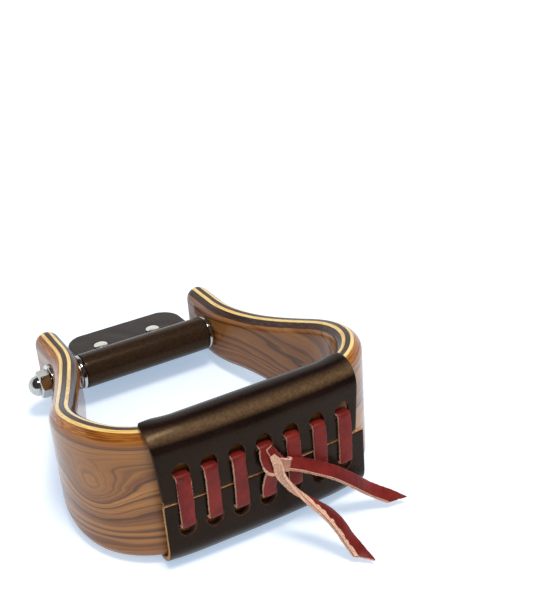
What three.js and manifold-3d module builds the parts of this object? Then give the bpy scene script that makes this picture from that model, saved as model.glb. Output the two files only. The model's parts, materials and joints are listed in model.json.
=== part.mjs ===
// A laminated bent-wood saddle stirrup, lying on its side edge as it would on a bench.
// Millimetres, +Z up. Its own axes, used by most functions here, are x across the tread,
// y from the underside of the tread up to the neck, and z through the depth of the loop.
import * as THREE from 'three';
import { mergeVertices } from 'three/addons/utils/BufferGeometryUtils.js';
import Module from 'manifold-3d';

const wasm = await Module();
wasm.setup();

const DEGREE = Math.PI / 180;

// Plies of the band, from either face to the core
const FACE_VENEER = 1.0;
const DARK_PLY = 2.6;
const LIGHT_PLY = 1.7;
const CORE_PLY = 2.4;
const GLUE_LINE = 0.05;
const BAND = 2 * (FACE_VENEER + DARK_PLY + LIGHT_PLY) + CORE_PLY;

// Centre line of the loop: flat tread, corner, shoulder, straight leg, neck bend, tip
const NECK_INSIDE = 76.8;
const CORNER_RADIUS = 35.3;
const CORNER_TURN = 72 * DEGREE;
const SHOULDER_RADIUS = 46.9;
const SHOULDER_TURN = 38 * DEGREE;
const LEG_STRAIGHT = 52.8;
const NECK_RADIUS = 57;
const TIP_LENGTH = 26.2;
const TIP_CORNER = 7.5;

// Width of the band through the depth of the loop, which flares from neck to tread
const TREAD_WIDTH = 64.8;
const NECK_WIDTH = 33;
const FLARE_START = 19;
const FLARE_BELOW_BAR = 17;
const EDGE_LEAN = 0.1;

// Bolt, nut and washers
const BOLT_DIAMETER = 7.9;
const BOLT_BELOW_BEND = 3;
const BOLT_CLEARANCE = 0.3;
const HEX_WALL = 2.4;
const HEAD_HEIGHT = 5.3;
const HEAD_CHAMFER = 1.4;
const NUT_HEX_HEIGHT = 5.9;
const NUT_CHAMFER = 0.6;
const NUT_SHOULDER = 1;
const NUT_DOME_WALL = 1.05;
const NUT_DOME_HEIGHT = 5.1;
const NUT_THREAD_DEPTH = 8.2;
const WASHER_RIM = 5.25;
const WASHER_THICKNESS = 1.5;
const WASHER_EDGE = 0.3;
const SEAT_CLEARANCE = 0.3;

// Roller on the bolt, its end rings, leather wrap, flap and rivets
const TUBE_CLEARANCE = 0.55;
const TUBE_WALL = 2.5;
const RING_RIM = 1.9;
const RING_THICKNESS = 2.0;
const RING_EDGE = 0.5;
const RING_TO_WOOD = 0.8;
const WRAP_LEATHER = 1.9;
const WRAP_SLIT = 0.2;
const FLAP_REACH = 28.8;
const FLAP_INSET = 2.4;
const FLAP_CORNER = 12;
const FLAP_CREASE = 4;
const FLAP_DROOP = 2 * DEGREE;
const RIVET_SPACING = 30.8;
const RIVET_SHIFT = -2.1;
const RIVET_FROM_WRAP = 9.4;
const RIVET_CAP_RADIUS = 3.7;
const RIVET_CAP_HEIGHT = 1.1;
const RIVET_CAP_RIM = 0.4;
const RIVET_CAP_UNDERCUT = 0.3;
const RIVET_SHANK_RADIUS = 1.6;

// Leather cover laced round the tread
const COVER_LEATHER = 2.4;
const FOLD_LEATHER = 1.8;
const FOLD_EASE = 0.2;
const COVER_OVERHANG = 17.4;
const COVER_BOW = 2.4;
const COVER_SEAM = 1.2;
const LOW_PANEL_SHIFT = 2.1;
const SEAM_TRIM = 0.045;
const INSIDE_TRIM = 0.3;
const LACE_SLACK = 1.2;
const LEATHER_CLEARANCE = 0.3;

// Lace: flat strip through two rows of slots
const LACE_WIDTH = 6.4;
const LACE_THICKNESS = 1.6;
const LACE_BARS = 7;
const LACE_END_MARGIN = 10;
const SLOT_EASE = 0.8;
const SLOT_ROUND = 4.4;
const SLOT_FROM_SEAM = 11.8;
const SLOT_CORNER = 0.4;
const SLOT_SHIFTS = [1.6, 0.8, 0.2, 0, 0, 0.2, 0.6];
const LACE_TUCK = 6;
const KNOT_HALF = new THREE.Vector3(5.6, 3.4, 4.6);
const KNOT_X = 2.3;
const KNOT_Z = 3.8;
const KNOT_GAP = 0.35;
const KNOT_SEAT = 0.94;
const TAIL_STEP = 4.5;
const TAIL_SIDES = 8;

// How far a cutter runs past what it cuts, and a joined piece into its neighbour
const PASS = 1;

// Derived sizes
const HALF_BAND = BAND / 2;
const WAIST_X = NECK_INSIDE / 2 + HALF_BAND;
const SHOULDER_HEADING = CORNER_TURN + SHOULDER_TURN;
const NECK_TURN = SHOULDER_HEADING - Math.PI / 2;
const TREAD_FLAT = WAIST_X
  - CORNER_RADIUS * Math.sin(CORNER_TURN)
  - SHOULDER_RADIUS * (Math.sin(SHOULDER_HEADING) - Math.sin(CORNER_TURN))
  - LEG_STRAIGHT * Math.cos(SHOULDER_HEADING)
  - NECK_RADIUS * (Math.sin(SHOULDER_HEADING) - 1);
const BEND_END_Y = HALF_BAND
  + CORNER_RADIUS * (1 - Math.cos(CORNER_TURN))
  + SHOULDER_RADIUS * (Math.cos(CORNER_TURN) - Math.cos(SHOULDER_HEADING))
  + LEG_STRAIGHT * Math.sin(SHOULDER_HEADING)
  + NECK_RADIUS * Math.sin(NECK_TURN);
const BAR_Y = BEND_END_Y - BOLT_BELOW_BEND;
const FLARE_END = BAR_Y - FLARE_BELOW_BAR;
const SEAT_X = WAIST_X + HALF_BAND + SEAT_CLEARANCE;
const NUT_FACE_X = SEAT_X + WASHER_THICKNESS + SEAT_CLEARANCE;
const BOLT_HOLE_RADIUS = BOLT_DIAMETER / 2 + BOLT_CLEARANCE;
const HEX_FLATS = BOLT_DIAMETER + 2 * HEX_WALL;
const HEX_CORNER = HEX_FLATS / Math.sqrt(3);
const NUT_DOME_RADIUS = BOLT_HOLE_RADIUS + NUT_DOME_WALL;
const WASHER_RADIUS = BOLT_DIAMETER / 2 + WASHER_RIM;
const TUBE_BORE = BOLT_DIAMETER / 2 + TUBE_CLEARANCE;
const TUBE_RADIUS = TUBE_BORE + TUBE_WALL;
const RING_RADIUS = TUBE_RADIUS + RING_RIM;
const RING_OUTER_X = NECK_INSIDE / 2 - RING_TO_WOOD;
const WRAP_HALF = RING_OUTER_X - RING_THICKNESS - LEATHER_CLEARANCE;
const WRAP_INNER = TUBE_RADIUS + LEATHER_CLEARANCE;
const WRAP_OUTER = WRAP_INNER + WRAP_LEATHER;
const FLAP_LENGTH = WRAP_OUTER + FLAP_REACH;
const RIVET_FROM_BAR = WRAP_OUTER + RIVET_FROM_WRAP;
const COVER_HALF = TREAD_FLAT + COVER_OVERHANG;
const LACE_PITCH = 2 * (COVER_HALF - LACE_END_MARGIN) / (LACE_BARS - 1);
const SLOT_LENGTH = LACE_WIDTH + 2 * SLOT_EASE;
const SLOT_HEIGHT = LACE_THICKNESS + 2 * LEATHER_CLEARANCE + SLOT_ROUND;
const LACE_GAP = LACE_THICKNESS + 2 * LEATHER_CLEARANCE + LACE_SLACK;
const COVER_FRONT = LACE_GAP + COVER_LEATHER;

// Meshes and solids

/** A closed geometry from corner positions and triangles, turned to face outwards. */
function closedGeometry(positions, triangles) {
  let volume = 0;
  const a = new THREE.Vector3();
  const b = new THREE.Vector3();
  const c = new THREE.Vector3();
  for (const [i, j, k] of triangles) {
    a.fromArray(positions[i]);
    b.fromArray(positions[j]);
    c.fromArray(positions[k]);
    volume += a.dot(b.cross(c));
  }
  const faces = volume < 0 ? triangles.map(([i, j, k]) => [i, k, j]) : triangles;
  const geometry = new THREE.BufferGeometry();
  geometry.setAttribute('position', new THREE.Float32BufferAttribute(positions.flat(), 3));
  geometry.setIndex(faces.flat());
  return geometry;
}

/** Joins equal rings of points into one closed body, with flat fans or a given end cap. */
function loftRings(rings, capTriangles) {
  const count = rings[0].length;
  const positions = rings.flat();
  const triangles = [];
  for (let i = 0; i + 1 < rings.length; i += 1) {
    for (let j = 0; j < count; j += 1) {
      const next = (j + 1) % count;
      const p = i * count + j;
      const q = i * count + next;
      triangles.push([p, q, q + count], [p, q + count, p + count]);
    }
  }
  const last = (rings.length - 1) * count;
  for (const [i, j, k] of capTriangles) {
    triangles.push([i, k, j], [last + i, last + j, last + k]);
  }
  return closedGeometry(positions, triangles);
}

/** Cap triangles of a ring made of two matching rows, one after the other and back. */
function stripCap(rowLength) {
  const triangles = [];
  for (let k = 0; k + 1 < rowLength; k += 1) {
    const across = 2 * rowLength - 1 - k;
    triangles.push([k, k + 1, across - 1], [k, across - 1, across]);
  }
  return triangles;
}

function toSolid(geometry) {
  const bare = geometry.clone();
  bare.deleteAttribute('normal');
  bare.deleteAttribute('uv');
  const merged = mergeVertices(bare, 1e-4);
  return new wasm.Manifold(new wasm.Mesh({
    numProp: 3,
    vertProperties: new Float32Array(merged.attributes.position.array),
    triVerts: new Uint32Array(merged.index.array),
  }));
}

function toGeometry(solid) {
  const mesh = solid.getMesh();
  const geometry = new THREE.BufferGeometry();
  geometry.setAttribute('position', new THREE.BufferAttribute(mesh.vertProperties, 3));
  geometry.setIndex(new THREE.BufferAttribute(mesh.triVerts, 1));
  return geometry;
}

/** Half a turn about the loop's own middle line, which swaps left and right. */
function flippedAcross(geometry) {
  return geometry.rotateY(Math.PI);
}

function subtract(geometry, ...tools) {
  return toGeometry(tools.reduce((solid, tool) => solid.subtract(toSolid(tool)), toSolid(geometry)));
}

function join(geometry, ...others) {
  return toGeometry(others.reduce((solid, other) => solid.add(toSolid(other)), toSolid(geometry)));
}

function intersect(geometry, other) {
  return toGeometry(toSolid(geometry).intersect(toSolid(other)));
}

/** A cylinder or prism whose axis runs along x at the height of the bar. */
function alongBar(radius, fromX, toX, sides = 32) {
  const geometry = new THREE.CylinderGeometry(radius, radius, toX - fromX, sides);
  return geometry.rotateZ(Math.PI / 2).translate((fromX + toX) / 2, BAR_Y, 0);
}

/** A body turned from [radius, x] points about the axis of the bar. */
function turnedAboutBar(profile, sides = 32) {
  const points = profile.map(([radius, x]) => new THREE.Vector2(radius, x));
  const geometry = new THREE.LatheGeometry(points, sides);
  return geometry.rotateZ(-Math.PI / 2).translate(0, BAR_Y, 0);
}

// The laminated band

function bandWidth(y) {
  const t = THREE.MathUtils.clamp((y - FLARE_START) / (FLARE_END - FLARE_START), 0, 1);
  return TREAD_WIDTH + (NECK_WIDTH - TREAD_WIDTH) * t * t * (3 - 2 * t);
}

/** Stations on the right half of the centre line, from the middle of the tread to the tip. */
function halfStations() {
  const stations = [];
  let x = 0;
  let y = HALF_BAND;
  let heading = 0;
  const add = () => stations.push({ x, y, heading, width: bandWidth(y) });
  const straight = (length, steps) => {
    for (let i = 0; i < steps; i += 1) {
      x += (length / steps) * Math.cos(heading);
      y += (length / steps) * Math.sin(heading);
      add();
    }
  };
  const bend = (radius, turn, steps) => {
    for (let i = 0; i < steps; i += 1) {
      const next = heading + turn / steps;
      const side = Math.sign(turn) * radius;
      x += side * (Math.sin(next) - Math.sin(heading));
      y += side * (Math.cos(heading) - Math.cos(next));
      heading = next;
      add();
    }
  };
  add();
  straight(TREAD_FLAT, 1);
  bend(CORNER_RADIUS, CORNER_TURN, 10);
  bend(SHOULDER_RADIUS, SHOULDER_TURN, 5);
  straight(LEG_STRAIGHT, 4);
  bend(NECK_RADIUS, -NECK_TURN, 4);
  straight(TIP_LENGTH - TIP_CORNER, 1);
  for (const tipAngle of [30, 60, 90]) {
    stations.push({ x, y, heading, width: NECK_WIDTH, tipAngle: tipAngle * DEGREE });
  }
  return stations;
}

function mirrored(station) {
  return { ...station, x: -station.x, mirror: true };
}

const RIGHT_HALF = halfStations();
const STATIONS = [...RIGHT_HALF.slice(1).reverse().map(mirrored), ...RIGHT_HALF];

/** How far the rounded edge of the band draws in at an offset from the centre line. */
function edgeInset(offset) {
  return HALF_BAND - Math.sqrt(Math.max(HALF_BAND ** 2 - offset ** 2, 0));
}

/** Place and half width of the band at a station and an outward offset. */
function bandPoint(station, offset) {
  const inset = edgeInset(offset);
  const radius = TIP_CORNER - inset;
  const atTip = station.tipAngle !== undefined;
  const along = atTip ? radius * Math.sin(station.tipAngle) : 0;
  const edge = atTip
    ? station.width / 2 - TIP_CORNER + radius * Math.cos(station.tipAngle)
    : station.width / 2 - inset;
  const half = edge + EDGE_LEAN * offset * Math.cos(station.heading);
  const side = station.mirror ? -1 : 1;
  return {
    x: station.x + side * (Math.sin(station.heading) * offset + Math.cos(station.heading) * along),
    y: station.y - Math.cos(station.heading) * offset + Math.sin(station.heading) * along,
    half,
  };
}

/** One ply between two offsets from the centre line, bored for the bolt. */
function plyGeometry(inner, outer, layers) {
  const from = inner + GLUE_LINE / 2;
  const to = outer - GLUE_LINE / 2;
  const offsets = Array.from({ length: layers + 1 }, (_, i) => from + ((to - from) * i) / layers);
  const rings = STATIONS.map((station) => {
    const points = offsets.map((offset) => bandPoint(station, offset));
    const low = points.map(({ x, y, half }) => [x, y, -half]);
    const high = points.map(({ x, y, half }) => [x, y, half]).reverse();
    return [...low, ...high];
  });
  const band = loftRings(rings, stripCap(offsets.length));
  const reach = WAIST_X + BAND;
  return subtract(band, alongBar(BOLT_HOLE_RADIUS, -reach, reach, 20));
}

/** The outer plies are cut flat round the bolt, so that the washers sit square. */
function withWasherSeats(geometry) {
  const radius = WASHER_RADIUS + SEAT_CLEARANCE;
  const from = WAIST_X + HALF_BAND;
  const to = from + BAND;
  return subtract(geometry, alongBar(radius, from, to, 24), alongBar(radius, -to, -from, 24));
}

const INNER_FACE = -HALF_BAND;
const INNER_DARK = INNER_FACE + FACE_VENEER;
const INNER_LIGHT = INNER_DARK + DARK_PLY;
const CORE = INNER_LIGHT + LIGHT_PLY;
const OUTER_LIGHT = CORE + CORE_PLY;
const OUTER_DARK = OUTER_LIGHT + LIGHT_PLY;
const OUTER_FACE = OUTER_DARK + DARK_PLY;

// Bolt, nut and washers

function hexPrism(fromX, toX) {
  return alongBar(HEX_CORNER, fromX, toX, 6);
}

/** The bolt runs through both legs, with its hex head on the right. */
function boltGeometry() {
  const headTo = NUT_FACE_X + HEAD_HEIGHT;
  const shankEnd = -NUT_FACE_X - NUT_THREAD_DEPTH + PASS;
  const chamfer = [
    [0, NUT_FACE_X], [HEX_CORNER + PASS, NUT_FACE_X], [HEX_CORNER + PASS, headTo - HEAD_CHAMFER],
    [HEX_FLATS / 2, headTo], [0, headTo],
  ];
  const head = intersect(hexPrism(NUT_FACE_X, headTo), turnedAboutBar(chamfer, 24));
  return join(head, alongBar(BOLT_DIAMETER / 2, shankEnd, NUT_FACE_X + PASS));
}

/** The domed cap nut on the left end of the bolt, bored blind. */
function capNutGeometry() {
  const face = NUT_FACE_X;
  const shoulder = face + NUT_HEX_HEIGHT;
  const dome = [];
  const steps = 5;
  for (let i = 0; i <= steps; i += 1) {
    const angle = (i / steps) * (Math.PI / 2);
    dome.push([NUT_DOME_RADIUS * Math.cos(angle), shoulder + NUT_DOME_HEIGHT * Math.sin(angle)]);
  }
  dome[steps][0] = 0;
  const chamfer = [
    [0, face], [HEX_CORNER - NUT_CHAMFER, face], [HEX_CORNER, face + NUT_CHAMFER],
    [HEX_CORNER, shoulder - NUT_SHOULDER], [NUT_DOME_RADIUS + NUT_SHOULDER / 2, shoulder], [0, shoulder],
  ];
  const hex = intersect(hexPrism(face, shoulder), turnedAboutBar(chamfer, 24));
  const cap = turnedAboutBar([[0, shoulder - PASS], [NUT_DOME_RADIUS, shoulder - PASS], ...dome], 24);
  const bore = alongBar(BOLT_HOLE_RADIUS, face - PASS, face + NUT_THREAD_DEPTH, 20);
  const nut = subtract(join(hex, cap), bore);
  return nut.translate(0, -BAR_Y, 0).rotateZ(Math.PI).translate(0, BAR_Y, 0);
}

function washerGeometry(side) {
  const bore = BOLT_HOLE_RADIUS;
  const to = SEAT_X + WASHER_THICKNESS;
  const profile = [
    [bore, SEAT_X], [WASHER_RADIUS, SEAT_X], [WASHER_RADIUS, to - WASHER_EDGE],
    [WASHER_RADIUS - WASHER_EDGE, to], [bore, to], [bore, SEAT_X],
  ];
  const geometry = turnedAboutBar(profile);
  return side > 0 ? geometry : flippedAcross(geometry);
}

// Roller, rings, wrap and rivets

function rollerTubeGeometry() {
  const end = NECK_INSIDE / 2 - SEAT_CLEARANCE;
  return turnedAboutBar([
    [TUBE_BORE, -end], [TUBE_RADIUS, -end], [TUBE_RADIUS, end], [TUBE_BORE, end], [TUBE_BORE, -end],
  ]);
}

function ringGeometry(side) {
  const bore = TUBE_RADIUS + BOLT_CLEARANCE;
  const from = RING_OUTER_X - RING_THICKNESS;
  const to = RING_OUTER_X;
  const profile = [
    [bore, from], [RING_RADIUS - RING_EDGE, from], [RING_RADIUS, from + RING_EDGE],
    [RING_RADIUS, to - RING_EDGE], [RING_RADIUS - RING_EDGE, to], [bore, to], [bore, from],
  ];
  const geometry = turnedAboutBar(profile);
  return side > 0 ? geometry : flippedAcross(geometry);
}

/** Half of the folded wrap's section, round the bar and out along one side of the flap. */
function wrapHalfOutline(roundRadius, creaseRadius, flapHalf, steps) {
  const centreDistance = roundRadius + creaseRadius;
  const angle = Math.asin((flapHalf + creaseRadius) / centreDistance);
  const points = [];
  for (let i = 0; i <= steps; i += 1) {
    const a = Math.PI + ((angle - Math.PI) * i) / steps;
    points.push([roundRadius * Math.cos(a), roundRadius * Math.sin(a)]);
  }
  const centre = [centreDistance * Math.cos(angle), centreDistance * Math.sin(angle)];
  const creaseSteps = 4;
  for (let i = 1; i <= creaseSteps; i += 1) {
    const a = angle + Math.PI + ((Math.PI / 2 - angle) * i) / creaseSteps;
    points.push([centre[0] + creaseRadius * Math.cos(a), centre[1] + creaseRadius * Math.sin(a)]);
  }
  points.push([FLAP_LENGTH + PASS, flapHalf]);
  return points;
}

/** Outline of the wrap and its flap seen flat, used to trim the extruded fold. */
function flapOutline() {
  const half = WRAP_HALF - FLAP_INSET;
  const shape = new THREE.Shape();
  shape.moveTo(-WRAP_HALF, -WRAP_OUTER - PASS);
  shape.lineTo(WRAP_HALF, -WRAP_OUTER - PASS);
  shape.lineTo(WRAP_HALF, WRAP_OUTER);
  shape.lineTo(half, WRAP_OUTER + 2 * FLAP_INSET);
  shape.absarc(half - FLAP_CORNER, FLAP_LENGTH - FLAP_CORNER, FLAP_CORNER, 0, Math.PI / 2);
  shape.absarc(-half + FLAP_CORNER, FLAP_LENGTH - FLAP_CORNER, FLAP_CORNER, Math.PI / 2, Math.PI);
  shape.lineTo(-half, WRAP_OUTER + 2 * FLAP_INSET);
  shape.lineTo(-WRAP_HALF, WRAP_OUTER);
  shape.closePath();
  return shape;
}

/** Leather folded round the roller, its two layers meeting in the flap. */
function barWrapGeometry() {
  const slit = WRAP_SLIT / 2;
  const outside = wrapHalfOutline(WRAP_OUTER, FLAP_CREASE, slit + WRAP_LEATHER, 14);
  const inside = wrapHalfOutline(WRAP_INNER, FLAP_CREASE + WRAP_LEATHER, slit, 14);
  const across = ([y, z]) => [y, -z];
  const outline = [
    ...outside,
    ...inside.slice(1).reverse(),
    ...inside.map(across),
    ...outside.slice(1).map(across).reverse(),
  ];
  const shape = new THREE.Shape(outline.map(([y, z]) => new THREE.Vector2(y, z)));
  const depth = 2 * (WRAP_HALF + PASS);
  const fold = new THREE.ExtrudeGeometry(shape, { depth, bevelEnabled: false, steps: 1 });
  // The section's own axes turn into y and z, and the extrusion runs along x
  fold.translate(0, 0, -depth / 2).applyMatrix4(new THREE.Matrix4().makeBasis(
    new THREE.Vector3(0, 1, 0), new THREE.Vector3(0, 0, 1), new THREE.Vector3(1, 0, 0),
  ));
  const height = 2 * (WRAP_OUTER + 2 * PASS);
  const throughFlap = { depth: height, bevelEnabled: false, curveSegments: 8 };
  const trim = new THREE.ExtrudeGeometry(flapOutline(), throughFlap).translate(0, 0, -height / 2);
  const bore = RIVET_SHANK_RADIUS + BOLT_CLEARANCE;
  const holes = [-1, 1].map((side) => new THREE.CylinderGeometry(bore, bore, height, 12)
    .rotateX(Math.PI / 2).translate(rivetX(side), RIVET_FROM_BAR, 0));
  return ontoBar(subtract(intersect(fold, trim), ...holes));
}

function rivetX(side) {
  return RIVET_SHIFT + (side * RIVET_SPACING) / 2;
}

/** Turns a piece made round the x axis by the flap's droop, and lifts it to the bar. */
function ontoBar(geometry) {
  return geometry.rotateX(-FLAP_DROOP).translate(0, BAR_Y, 0);
}

/** A double-cap rivet through both layers of the flap. */
function rivetGeometry(side) {
  const seat = WRAP_SLIT / 2 + WRAP_LEATHER + SEAT_CLEARANCE;
  const rim = seat + RIVET_CAP_RIM;
  const crown = RIVET_CAP_HEIGHT - RIVET_CAP_RIM;
  const profile = [];
  for (const angle of [90, 60, 30, 0]) {
    const turn = angle * DEGREE;
    const radius = angle === 90 ? 0 : RIVET_CAP_RADIUS * Math.cos(turn);
    profile.push([radius, -rim - crown * Math.sin(turn)]);
  }
  profile.push([RIVET_CAP_RADIUS - RIVET_CAP_UNDERCUT, -seat], [RIVET_SHANK_RADIUS, -seat]);
  const upper = profile.map(([r, h]) => [r, -h]).reverse();
  const points = [...profile, ...upper].map(([r, h]) => new THREE.Vector2(r, h));
  const geometry = new THREE.LatheGeometry(points, 16);
  geometry.rotateX(Math.PI / 2).translate(rivetX(side), RIVET_FROM_BAR, 0);
  return ontoBar(geometry);
}

// Tread cover

function coverBow(x) {
  return COVER_BOW * (x / COVER_HALF) ** 2;
}

/** Half of the cover's section at the middle of the tread, from its seam to its top middle. */
function coverHalfSection(thickness, foldThickness) {
  const low = HALF_BAND + LACE_GAP;
  const high = HALF_BAND + LEATHER_CLEARANCE;
  const highZ = TREAD_WIDTH / 2 - HALF_BAND + FOLD_EASE;
  const lowZ = highZ + high - low;
  const points = [[-LACE_GAP - thickness, COVER_SEAM / 2]];
  const arc = (radius, centreZ, from, to, steps) => {
    for (let i = 0; i <= steps; i += 1) {
      const a = from + ((to - from) * i) / steps;
      points.push([
        HALF_BAND + (radius + thickness) * Math.sin(a),
        centreZ + (radius + foldThickness) * Math.cos(a),
      ]);
    }
  };
  arc(low, lowZ, -90 * DEGREE, 0, 7);
  points.pop();
  arc(high, highZ, 0, 90 * DEGREE, 6);
  return points;
}

/** How far out along the tread a line of the cover reaches, as a share of the whole. */
function coverReach(y, z) {
  if (y > HALF_BAND) {
    return 1 - (INSIDE_TRIM * (y - HALF_BAND)) / (HALF_BAND + LEATHER_CLEARANCE);
  }
  return z > 0 ? 1 - SEAM_TRIM * (1 - (2 * z) / TREAD_WIDTH) : 1;
}

/** Moves a point of the middle section to a place along the tread, where the band curves up. */
function coverPoint(station, [y, z], innerY) {
  const along = station * coverReach(innerY, z) + (z < 0 ? LOW_PANEL_SHIFT : 0);
  const past = Math.abs(along) - TREAD_FLAT;
  const over = [along, y];
  if (past > 0) {
    const radius = CORNER_RADIUS + HALF_BAND - y;
    const angle = past / (CORNER_RADIUS + HALF_BAND - innerY);
    over[0] = Math.sign(along) * (TREAD_FLAT + radius * Math.sin(angle));
    over[1] = HALF_BAND + CORNER_RADIUS - radius * Math.cos(angle);
  }
  const floor = -COVER_FRONT;
  const t = THREE.MathUtils.clamp((y - floor) / (HALF_BAND - floor), 0, 1);
  const blend = t * t * (3 - 2 * t);
  const bowed = y + coverBow(along);
  return [along + (over[0] - along) * blend, bowed + (over[1] - bowed) * blend, z];
}

function coverStations() {
  const stations = [];
  const flatSteps = 6;
  const endSteps = 4;
  for (let i = 0; i <= flatSteps; i += 1) {
    stations.push(TREAD_FLAT * ((2 * i) / flatSteps - 1));
  }
  for (let i = 1; i <= endSteps; i += 1) {
    const x = TREAD_FLAT + (COVER_OVERHANG * i) / endSteps;
    stations.push(x);
    stations.unshift(-x);
  }
  return stations;
}

/** Place of a column of slots along the tread. The slots are punched by eye, so they are uneven. */
function slotX(column) {
  return column * LACE_PITCH + SLOT_SHIFTS[column + (LACE_BARS - 1) / 2];
}

/** Cutter for one lace slot, straight on the side next to the seam and round on the other. */
function slotCutter(column, side) {
  const half = SLOT_LENGTH / 2;
  const shape = new THREE.Shape();
  shape.moveTo(half - SLOT_CORNER, 0);
  shape.lineTo(half, SLOT_CORNER);
  shape.lineTo(half, LACE_THICKNESS);
  shape.absellipse(0, LACE_THICKNESS, half, SLOT_HEIGHT - LACE_THICKNESS, 0, Math.PI);
  shape.lineTo(-half, SLOT_CORNER);
  shape.lineTo(-half + SLOT_CORNER, 0);
  shape.closePath();
  const depth = COVER_FRONT + COVER_BOW + PASS;
  const geometry = new THREE.ExtrudeGeometry(shape, { depth, bevelEnabled: false, curveSegments: 7 });
  geometry.rotateX(Math.PI / 2).translate(0, LACE_GAP / 2, SLOT_FROM_SEAM);
  const turned = side < 0 ? flippedAcross(geometry) : geometry;
  return turned.translate(slotX(column), 0, 0);
}

function laceColumns() {
  const middle = (LACE_BARS - 1) / 2;
  return Array.from({ length: LACE_BARS }, (_, i) => i - middle);
}

function treadCoverGeometry() {
  const inner = coverHalfSection(0, 0);
  const outer = coverHalfSection(COVER_LEATHER, FOLD_LEATHER);
  const across = ([y, z]) => [y, -z];
  const wholeInner = [...inner, ...inner.map(across).reverse()];
  const wholeOuter = [...outer, ...outer.map(across).reverse()];
  const rings = coverStations().map((along) => {
    const insidePoints = wholeInner.map((point) => coverPoint(along, point, point[0]));
    const outsidePoints = wholeOuter.map((point, i) => coverPoint(along, point, wholeInner[i][0]));
    return [...insidePoints, ...outsidePoints.reverse()];
  });
  const cover = loftRings(rings, stripCap(wholeInner.length));
  const cutters = laceColumns().flatMap((column) => [slotCutter(column, 1), slotCutter(column, -1)]);
  return subtract(cover, ...cutters);
}

// Lace

const LACE_FRONT = COVER_FRONT + LEATHER_CLEARANCE + LACE_THICKNESS / 2;
const LACE_BACK = LACE_GAP - LEATHER_CLEARANCE - LACE_THICKNESS / 2;
const LACE_BEND = LEATHER_CLEARANCE + LACE_THICKNESS / 2;

/** Middle line through one slot, from the front of the cover to its back, as [y, z] points. */
function slotPassage(side) {
  const steps = 3;
  const points = [];
  const place = (y, rise) => points.push([y, side * (SLOT_FROM_SEAM + rise)]);
  for (let i = 0; i <= steps; i += 1) {
    const a = (i / steps) * (Math.PI / 2);
    place(-COVER_FRONT - LACE_BEND * Math.cos(a), LACE_BEND * Math.sin(a));
  }
  for (let i = 0; i <= steps; i += 1) {
    const a = (i / steps) * (Math.PI / 2);
    place(-LACE_GAP + LACE_BEND * Math.sin(a), LACE_BEND * Math.cos(a));
  }
  return points;
}

/** A flat strip along a route of [x, y, z] points, its width kept along x. */
function stripGeometry(route) {
  const rings = route.map(([x, y, z], i) => {
    const before = route[Math.max(i - 1, 0)];
    const after = route[Math.min(i + 1, route.length - 1)];
    const length = Math.hypot(after[1] - before[1], after[2] - before[2]);
    const normal = [-(after[2] - before[2]) / length, (after[1] - before[1]) / length];
    return [[-1, -1], [1, -1], [1, 1], [-1, 1]].map(([w, t]) => {
      const px = x + (w * LACE_WIDTH) / 2;
      const py = y + (t * LACE_THICKNESS / 2) * normal[0] + coverBow(px);
      return [px, py, z + (t * LACE_THICKNESS / 2) * normal[1]];
    });
  });
  return loftRings(rings, [[0, 1, 2], [0, 2, 3]]);
}

/**
 * One half of the lacing. It leaves the knot, goes through the middle slot on its side of the
 * seam, and zigzags outwards: behind the cover from column to column, in front across the seam.
 */
function laceHalfGeometry(direction, side) {
  const knotEdge = KNOT_Z + side * KNOT_HALF.z * KNOT_SEAT;
  const route = [[0, -LACE_FRONT, knotEdge]];
  const toBack = (x) => slotPassage(side).map(([y, z]) => [x, y, z]);
  const toFront = (x) => slotPassage(-side).reverse().map(([y, z]) => [x, y, z]);
  route.push(...toBack(0));
  for (let step = 1; step <= (LACE_BARS - 1) / 2; step += 1) {
    const x = slotX(direction * step);
    route.push(...toFront(x), ...toBack(x));
  }
  const end = route[route.length - 1];
  route.push([end[0], -LACE_BACK, end[2] - side * LACE_TUCK]);
  return stripGeometry(route);
}

const KNOT_CENTRE = new THREE.Vector3(KNOT_X, -COVER_FRONT - KNOT_GAP - KNOT_HALF.y, KNOT_Z);

function knotGeometry() {
  const geometry = new THREE.SphereGeometry(1, 16, 10);
  geometry.scale(KNOT_HALF.x, KNOT_HALF.y, KNOT_HALF.z);
  return geometry.translate(KNOT_CENTRE.x, KNOT_CENTRE.y, KNOT_CENTRE.z);
}

// Loose ends of the lace, from the knot down to the bench: steps away from the knot in x and
// y, and the share of the drop still to go
const RIGHT_TAIL = [
  [5.75, -0.6, 0.97], [12.0, -2.0, 0.91], [18.5, -3.6, 0.82], [27.5, -5.5, 0.68], [37.4, -7.6, 0.49],
  [47.6, -9.8, 0.25], [55.8, -11.5, 0.07], [61.8, -12.8, 0.0],
];
const LOW_TAIL = [
  [1.2, -2.9, 0.905], [3.6, -5.8, 0.8], [7.2, -9.2, 0.69], [11.6, -14.5, 0.61], [15.7, -20.4, 0.5],
  [18.2, -24.0, 0.38], [20.8, -27.7, 0.2], [23.6, -31.8, 0.07], [26.4, -35.8, 0.0],
];
const RIGHT_TAIL_REST = 2.6;
const RIGHT_TAIL_TURN = 50 * DEGREE;
const LOW_TAIL_REST = 2.2;
const LOW_TAIL_TURN = 15 * DEGREE;

function tailGeometry(knot, steps, rest, turn) {
  const curve = new THREE.CatmullRomCurve3(steps.map(
    ([dx, dy, share]) => new THREE.Vector3(knot.x + dx, knot.y + dy, rest + (knot.z - rest) * share),
  ));
  const outline = Array.from({ length: TAIL_SIDES }, (_, i) => {
    const a = ((i + 0.5) / TAIL_SIDES) * 2 * Math.PI;
    return new THREE.Vector2((LACE_WIDTH / 2) * Math.cos(a), (LACE_THICKNESS / 2) * Math.sin(a))
      .rotateAround(new THREE.Vector2(), turn);
  });
  const count = Math.round(curve.getLength() / TAIL_STEP);
  return new THREE.ExtrudeGeometry(new THREE.Shape(outline), { extrudePath: curve, steps: count });
}

// Materials

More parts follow.
